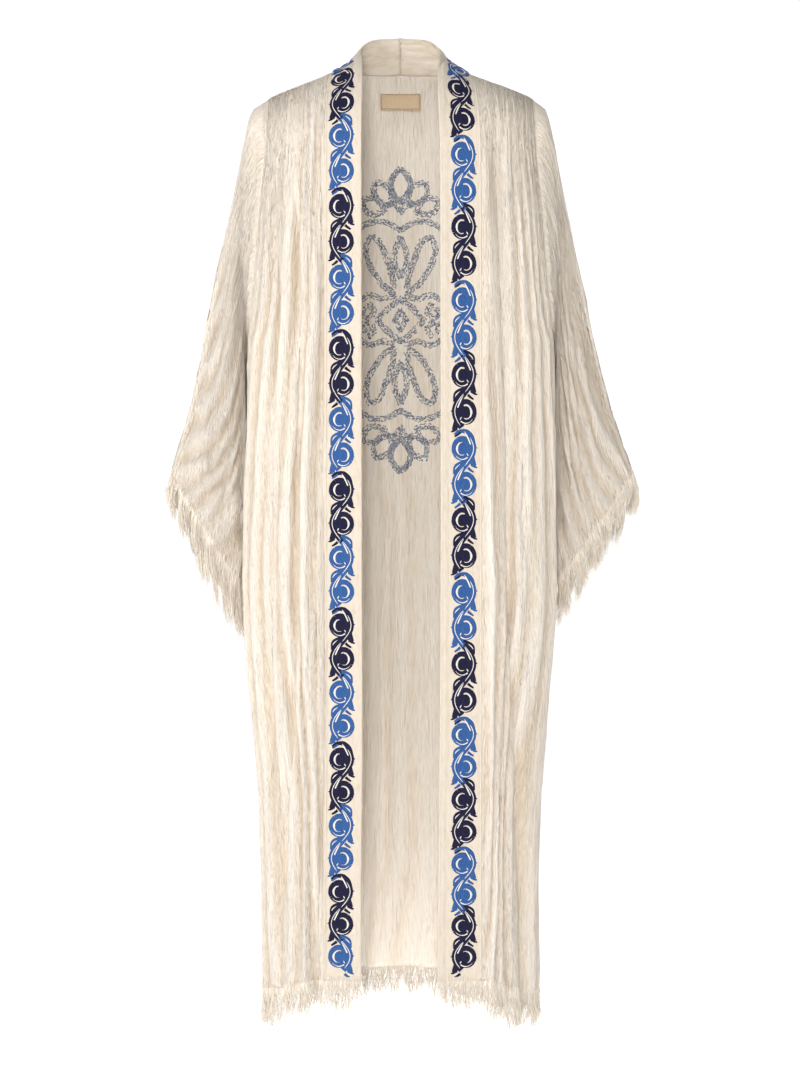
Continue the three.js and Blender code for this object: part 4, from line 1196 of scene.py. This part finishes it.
# %% Hem and cuffs
fringe_cotton, tree, shader = new_material("fringe_cotton")
strand = noise(tree, place_on_cloth(tree, 260, 60), 1)
look = {
    "Base Color": colour_ramp(tree, strand, [(0.35, (0.70, 0.60, 0.48)), (0.62, (0.90, 0.83, 0.735))]),
    "Roughness": 0.9,
    "Specular IOR Level": 0.15,
    "Sheen Weight": 0.2,
}
connect(tree, shader, look)


def edge_of(points, normals, row=-1):
    """An edge of a panel in the middle of its wall, with the ways down off it and out of the cloth."""
    down = unit(points[row] - points[row - 1 if row < 0 else row + 1])
    return points[row] - normals[row] * GAUZE_WALL / 2, down, normals[row]


HEM_LONGER = {
    side: ((0, 0.5, 1), (1, 1.25, 1.45) if front_points[side][-1, 0, 0] * side < 100 else (1.45, 1.25, 1))
    for side in SIDES.values()
}


def add_fringe(place, *lines):
    thread_tubes("fringe_" + place + "_threads", lines, fringe_cotton)
    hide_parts("fringe_" + place)


add_fringe("hem_back", hanging_threads(*edge_of(back_points, grid_normals(back_points)), "hem", 101))
for name, side in SIDES.items():
    front_edge = edge_of(front_points[side], grid_normals(front_points[side]))
    band_edge = edge_of(band_points[side], band_normals[side])
    add_fringe(
        "hem_" + name,
        hanging_threads(*front_edge, "hem", 110 + side, HEM_LONGER[side]),
        hanging_threads(*band_edge, "hem", 120 + side),
    )
    cuff_edge = edge_of(sleeve_points[side], grid_normals(sleeve_points[side], closed=True))
    low = np.interp(cuff_edge[0][:, 2], [CUFF_UNDER_Z[side], CUFF_TOP_Z], [1.25, 0.8])
    longer = (np.linspace(0, 1, len(low)), low)
    add_fringe("cuff_" + name, hanging_threads(*cuff_edge, "cuff", 130 + side, longer))

# %% [markdown]
# ## Seams and topstitching
# Every seam stands up a little where the turned-in edges lie behind it. A welt is a low dome of cloth along
# a seam line. The bands are also topstitched near both edges, with a stitch about 3 mm long.

# %% Welts
WELT_ROWS = 260


def welt(line, normals, across, half, high):
    """A dome of cloth along a line, as (points, place)."""
    run = lengths(line, 0)
    at = np.linspace(0, run[-1], WELT_ROWS)
    line, normals, across = (picked(at, run, grid) for grid in (line, normals, across))
    c = np.linspace(-1, 1, RIBBON_COLUMNS)
    uneven = 1 + 0.25 * lattice_noise(at / 7, np.zeros_like(at), 300)
    dome = high * (1 - c * c)[None, :] * uneven[:, None] - 0.3
    points = line[:, None, :] + across[:, None, :] * (half * c)[None, :, None]
    points = points + normals[:, None, :] * dome[..., None]
    return points, np.stack(np.broadcast_arrays(half * c[None, :], at[:, None]), axis=-1)


def facing(way, placed):
    """The ribbons, with the columns of each reversed if its faces look the other way: 1 out, -1 in."""
    made = []
    for points, place in placed:
        towards = grid_normals(points)[..., 1] * (points[..., 1] - CENTRE_Y)
        order = way if towards.sum() > 0 else -way
        made.append((points[:, ::order], place[:, ::order]))
    return made


gauze_welts, band_welts = [], []
for name, side in SIDES.items():
    shoulder, down, normals = edge_of(front_points[side], grid_normals(front_points[side]), 0)
    gauze_welts.append(welt(shoulder + normals * 0.5, normals, down, half=1.8, high=1.0))
    seam, down, normals = edge_of(sleeve_points[side], grid_normals(sleeve_points[side], closed=True), 0)
    gauze_welts.append(welt(seam + normals * 0.5, normals, -down, half=1.7, high=1.1))
    along = np.linspace(NECK_RUN, lengths(band_points[side], 0)[-1].min() - 2, WELT_ROWS)
    line, beside = (band_place(side, along, np.full(WELT_ROWS, q), 0 * along) for q in (0.6, 2.6))
    forward = np.broadcast_to([0.0, -1.0, 0.0], line.shape)
    band_welts.append(welt(line, forward, unit(beside - line), half=2.0, high=1.7))
ribbons("gauze_welts", facing(1, gauze_welts), gauze, "gauze")
ribbons("band_welts", facing(1, band_welts), band_cotton, "band")
print("welts:", len(gauze_welts) + len(band_welts))

# %% Topstitching
STITCH = dict(long=2.9, pitch=4.1, half=0.42, inset=3.6, edge_inset=2.6, strip_inset=9.8, start=14, end=6)


def stitch_rows(side, across_of):
    """Stitches along a band: across_of gives the distance from the seam for a band of some width."""
    end = float(lengths(band_points[side], 0)[-1].min())
    made = []
    for start in np.arange(STITCH["start"], end - STITCH["end"], STITCH["pitch"]):
        across = across_of(side, start)
        widths = ((0, 0.3), (0.5, STITCH["half"]), (1, 0.3))
        line = [[start + STITCH["long"] * s, across, w] for s, w in widths]
        flat, lift, place = ribbon_grid(resample(line, 4), high=0.42, base=0.12)
        made.append((band_place(side, flat[..., 0], flat[..., 1], lift), place))
    return made


def band_width(side, along):
    return float(np.interp(along, middle_run(side), lengths(band_points[side], 1)[:, -1]))


stitches = []
for side in SIDES.values():
    stitches += stitch_rows(side, lambda side, along: STITCH["inset"])
    stitches += stitch_rows(side, lambda side, along: band_width(side, along) - STITCH["edge_inset"])
stitches += stitch_rows(1, lambda side, along: band_width(side, along) - STITCH["strip_inset"])
stitch_thread = thread_material("stitch_thread", (0.80, 0.71, 0.58), (0.62, 0.52, 0.40), 1.2)
ribbons("topstitching", stitches, stitch_thread, "band")
print("stitches:", len(stitches))

# %% [markdown]
# ## Medallion on the back
# A tall medallion is worked on the outside of the back, and its reverse shows inside as broken dashes. It
# is drawn for one quarter and mirrored twice: a palmette at each end, two long loops beside a stem, and
# scrolls that fill the corners. The places are cast as rays onto the back, from the middle of the robe.

# %% Strokes of one quarter
PETALS = table(  # petals of the palmette: turn from upright, length and half-width of the petal, in mm
    "turn long wide",
    (0, 68, 15),
    (34, 60, 12.5),
    (64, 58, 12),
)
PALMETTE_Z, PALMETTE_INNER = 136, 24
QUARTER = [  # out from the middle and up from the waist, in mm
    [(0, 122), (22, 133), (44, 131), (62, 118), (74, 98)],
    [(9, 36), (26, 50), (41, 74), (47, 96), (41, 112), (29, 106), (20, 86), (12, 62), (9, 44)],
    [(0, 112), (8, 92), (8, 76), (0, 58)],
    [(0, 146), (9, 158), (17, 156)],
    [(74, 92), (63, 76), (59, 60), (67, 50), (75, 57), (68, 65)],
    [(8, 33), (24, 29), (42, 34), (58, 26), (72, 34)],
    [(0, 28), (12, 20), (22, 10), (31, 0)],
    [(42, 22), (36, 12), (44, 3), (53, 8), (48, 15)],
    [(0, 13), (8, 0)],
]


def petal_line(turn, long, wide, inner):
    """A closed drop from the palmette's root, out to its tip and back."""
    s = np.linspace(0, 2 * math.pi, 25)
    out = inner + (long - inner) * (1 - np.abs(1 - s / math.pi) ** 1.2)
    off = wide * np.sin(s) * (1.15 - 0.35 * np.sin(s / 2))
    sine, cosine = math.sin(math.radians(turn)), math.cos(math.radians(turn))
    return np.stack([out * sine + off * cosine, PALMETTE_Z + out * cosine - off * sine], axis=-1)


quarter = [petal_line(inner=PALMETTE_INNER, **petal) for petal in PETALS]
quarter += [np.array(line, float) for line in QUARTER]
MEDALLION_WAIST = -329
mirrored = [line * [a, b] + [0, MEDALLION_WAIST] for line in quarter for a in (1, -1) for b in (1, -1)]
print("medallion strokes:", len(mirrored))

# %% A place on the back
BACKWARDS = Vector((0, 1, 0))


def grid_tree(points):
    rows, columns = points.shape[:2]
    corner = (np.arange(rows - 1)[:, None] * columns + np.arange(columns - 1)).ravel()
    faces = np.stack([corner, corner + columns, corner + columns + 1, corner + 1], axis=-1)
    return BVHTree.FromPolygons([Vector(p) for p in points.reshape(-1, 3)], faces.tolist())


back_tree = grid_tree(back_points)
print("faces to cast on:", (back_points.shape[0] - 1) * (back_points.shape[1] - 1))


def on_back(x, z, lift):
    """Points on the back's inner face, or on its outer face for a lift above zero."""
    made = np.empty((*x.shape, 3))
    for index in np.ndindex(x.shape):
        hit, normal, _, _ = back_tree.ray_cast(Vector((x[index], CENTRE_Y, z[index])), BACKWARDS)
        normal = normal if normal.y > 0 else -normal
        off = lift[index] if lift[index] > 0 else lift[index] - GAUZE_WALL
        made[index] = hit + normal * off
    return made


def length_of(line):
    return np.linalg.norm(np.diff(line, axis=0), axis=1).sum()


def evenly(line, count):
    return resample(np.column_stack([line, np.zeros(len(line))]), count)[:, :2]


# %% The reverse inside, in dashes
DASH = dict(rows=(-3.1, -1.0, 1.0, 3.1), step=2.9, long=4.4, half=1.1, missing=0.08)
rng = np.random.default_rng(7)
dashes = []
for line in mirrored:
    spine = evenly(line, max(int(length_of(line) / DASH["step"]), 3))
    for off in DASH["rows"]:
        for centre, ahead, left in zip(spine, *directions(spine)):
            if rng.uniform() < DASH["missing"]:
                continue
            middle = centre + left * (off + rng.normal(0, 0.45)) + ahead * rng.normal(0, 0.8)
            slant = ahead + left * rng.normal(0, 0.4)
            half_run = slant / np.linalg.norm(slant) * DASH["long"] / 2 * rng.uniform(0.6, 1.1)
            wide = DASH["half"] * rng.uniform(0.6, 1.15)
            shares = ((-1, 0.35), (0, 1), (1, 0.3))
            ends = [[*(middle + half_run * s), w * wide] for s, w in shares]
            flat, lift, place = ribbon_grid(np.array(ends), high=0.3, base=0.15)
            points = on_back(flat[..., 0], flat[..., 1], -lift)
            dashes.append((points, place + rng.uniform(0, 900, 2)))
reverse_thread = thread_material("reverse_thread", (0.36, 0.37, 0.41), (0.07, 0.09, 0.15), 5.5)
ribbons("medallion_inside", facing(-1, dashes), reverse_thread, "band")
print("dashes:", len(dashes))

# %% The face outside, in chain stitch
CHAIN = dict(navy=1.9, blue=1.1, apart=2.5, piece=26)
chain = {"navy": [], "blue": []}
for line in mirrored:
    pieces = max(int(round(length_of(line) / CHAIN["piece"])), 1)
    spine = evenly(line, pieces * (RIBBON_ROWS - 1) + 1)
    aside = directions(spine)[1]
    for colour, off in (("navy", 0), ("blue", CHAIN["apart"])):
        whole = np.column_stack([spine + aside * off, np.full(len(spine), CHAIN[colour])])
        for first in range(0, len(spine) - 1, RIBBON_ROWS - 1):
            flat, lift, place = ribbon_grid(whole[first:first + RIBBON_ROWS], high=0.7, base=0.1)
            chain[colour].append((on_back(flat[..., 0], flat[..., 1], lift), place))
for colour, placed in chain.items():
    ribbons("medallion_" + colour, facing(1, placed), THREADS[colour], "band")
print({colour: len(placed) for colour, placed in chain.items()})

# %% [markdown]
# ## Label
# The label is a small woven patch, left bare, held by a line of short stitches just inside its edge. It
# lies on the inner face of the back, under the collar.

# %% Label cloth
LABEL_ROWS, LABEL_COLUMNS = 24, 56
LABEL_WALL, LABEL_LIFT = 0.6, 1.3
BORDER = dict(inset=1.7, pitch=2.2, first=0.4, stitch=((0, 0.3), (0.8, 0.55), (1.6, 0.3)))
label_cotton, tree, shader = new_material("label_cotton")
grain_at = place_on_cloth(tree, 1000, 1000)
grain = maths(tree, "ADD", *(waves(tree, grain_at, 0.42, way, 1.2) for way in "XY"))
fleck = noise(tree, grain_at, 0.5, detail=3)
look = {
    "Base Color": colour_ramp(tree, fleck, [(0.35, (0.66, 0.49, 0.31)), (0.65, (0.76, 0.60, 0.41))]),
    "Normal": bump(tree, grain, 0.0003, 0.7),
    "Roughness": 0.85,
    "Specular IOR Level": 0.2,
}
connect(tree, shader, look)
print("label:", 2 * LABEL["half"], "by", LABEL["top"] - LABEL["bottom"], "mm")

# %% Patch
HALF, TOP, BOTTOM = LABEL["half"], LABEL["top"], LABEL["bottom"]
x, z = np.meshgrid(np.linspace(-HALF, HALF, LABEL_COLUMNS), np.linspace(TOP, BOTTOM, LABEL_ROWS))
near_edge = np.minimum(HALF - np.abs(x), np.minimum(TOP - z, z - BOTTOM))
pillow = LABEL_LIFT - 0.55 * np.exp(-(((near_edge - BORDER["inset"]) / 0.7) ** 2)) - 0.5 * (near_edge < 0.1)
patch = on_back(x, z, np.full(x.shape, -0.2))
patch[..., 1] = patch[..., 1].min(axis=0, keepdims=True) - pillow
order = 1 if grid_normals(patch)[..., 1].sum() < 0 else -1
patch, places = patch[:, ::order], np.stack([x, z], axis=-1)[:, ::order]
label_piece = sheet_piece("label_patch", patch, places, 0 * x, label_cotton, "label", LABEL_WALL)
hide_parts("label")
print("patch polygons:", len(label_piece.data.polygons))

# %% Stitches round the label
surface = grid_tree(patch)
border = []
inset, pitch, first = BORDER["inset"], BORDER["pitch"], BORDER["first"]
wide, tall = HALF - inset, TOP - inset - (BOTTOM + inset)
runs = [((-wide + s, edge), (1, 0)) for s in np.arange(first, 2 * wide - 1, pitch) for edge in (0, -tall)]
runs += [((edge, -s), (0, -1)) for s in np.arange(first, tall - 1, pitch) for edge in (-wide, wide)]
for (at_x, at_z), (run_x, run_z) in runs:
    ends = [[at_x + run_x * s, TOP - inset + at_z + run_z * s, w] for s, w in BORDER["stitch"]]
    flat, lift, place = ribbon_grid(np.array(ends), high=0.4, base=0.15)
    points = np.empty((*lift.shape, 3))
    for index in np.ndindex(lift.shape):
        hit = surface.ray_cast(Vector((flat[index][0], -80, flat[index][1])), BACKWARDS)[0]
        points[index] = hit - BACKWARDS * lift[index]
    border.append((points, place))
border_thread = thread_material("border_thread", (0.34, 0.22, 0.12), (0.22, 0.13, 0.07), 1.0)
ribbons("label_stitches", facing(-1, border), border_thread, "label")
print("label stitches:", len(border))

# %% [markdown]
# ## The area of the cloth
# A sheet of cloth keeps its area when it hangs. The areas of the front and back forms, the sleeves and the
# bands are printed above.

# %% [markdown]
# ## Floor, light and camera
# Four soft lamps light the robe. The strongest stands straight ahead and reaches the inside of the back,
# one far to the left rakes across the ridges of the crinkle, and weaker ones above and behind lift the
# shoulders and the back. The camera sees a white sky, which adds only a little light of its own. The
# camera stands level with the middle of the robe.

# %% Lamps and sky
def lamp(name, energy, size, place, aim):
    data = bpy.data.lights.new(name, "AREA")
    data.energy, data.shape, data.size = energy, "DISK", size
    made = add_object(name, data)
    made.location = place
    direction = Vector(aim) - Vector(place)
    made.rotation_euler = direction.to_track_quat("-Z", "Y").to_euler()


ROBE_MIDDLE = (0, 0, -0.6)
lamp("key", 53, 0.7, (-4.1, -2.0, 0.5), ROBE_MIDDLE)
lamp("front", 116, 0.9, (-0.25, -5.2, -0.2), ROBE_MIDDLE)
lamp("top", 26, 1.2, (-0.8, -1.6, 2.4), (0, 0, 0))
lamp("back", 30, 2.5, (1.2, 3.6, 1.4), ROBE_MIDDLE)

world = bpy.data.worlds.new("white_room")
world.use_nodes = True
tree, SKY_LIGHT, SKY_SEEN = world.node_tree, 0.24, 1.1
seen = add_node(tree, "ShaderNodeLightPath", {}).outputs["Is Camera Ray"]
level = maths(tree, "MULTIPLY_ADD", seen, SKY_SEEN - SKY_LIGHT, SKY_LIGHT)
connect(tree, tree.nodes["Background"], {"Color": (1, 1, 1, 1), "Strength": level})
bpy.context.scene.world = world
print("lamps:", [data.name for data in bpy.data.lights])

# %% Floor
FLOOR_Z = -1.62
bm = bmesh.new()
bmesh.ops.create_grid(bm, x_segments=4, y_segments=4, size=40)
bmesh.ops.translate(bm, verts=bm.verts, vec=(0, 0, FLOOR_Z))
floor_mesh = bpy.data.meshes.new("floor")
bm.to_mesh(floor_mesh)
bm.free()
floor = add_object("floor", floor_mesh)
floor_white, tree, shader = new_material("floor_white")
look = {
    "Base Color": (0.95, 0.95, 0.95, 1),
    "Roughness": 0.9,
    "Specular IOR Level": 0.0,
    "Emission Color": (1, 1, 1, 1),
    "Emission Strength": 0.88,
}
connect(tree, shader, look)
floor_mesh.materials.append(floor_white)
print("floor at", FLOOR_Z, "m")

# %% Camera
camera_data = bpy.data.cameras.new("camera")
camera_data.lens, camera_data.sensor_width = 107.5, 36
camera_data.clip_end = 200
camera = add_object("camera", camera_data)
camera.location = (-0.00066, -4.2, -0.616)
camera.rotation_euler = (math.radians(90), 0, 0)
bpy.context.scene.camera = camera
bpy.context.scene.view_settings.view_transform = "Standard"
print("camera at", tuple(camera.location))
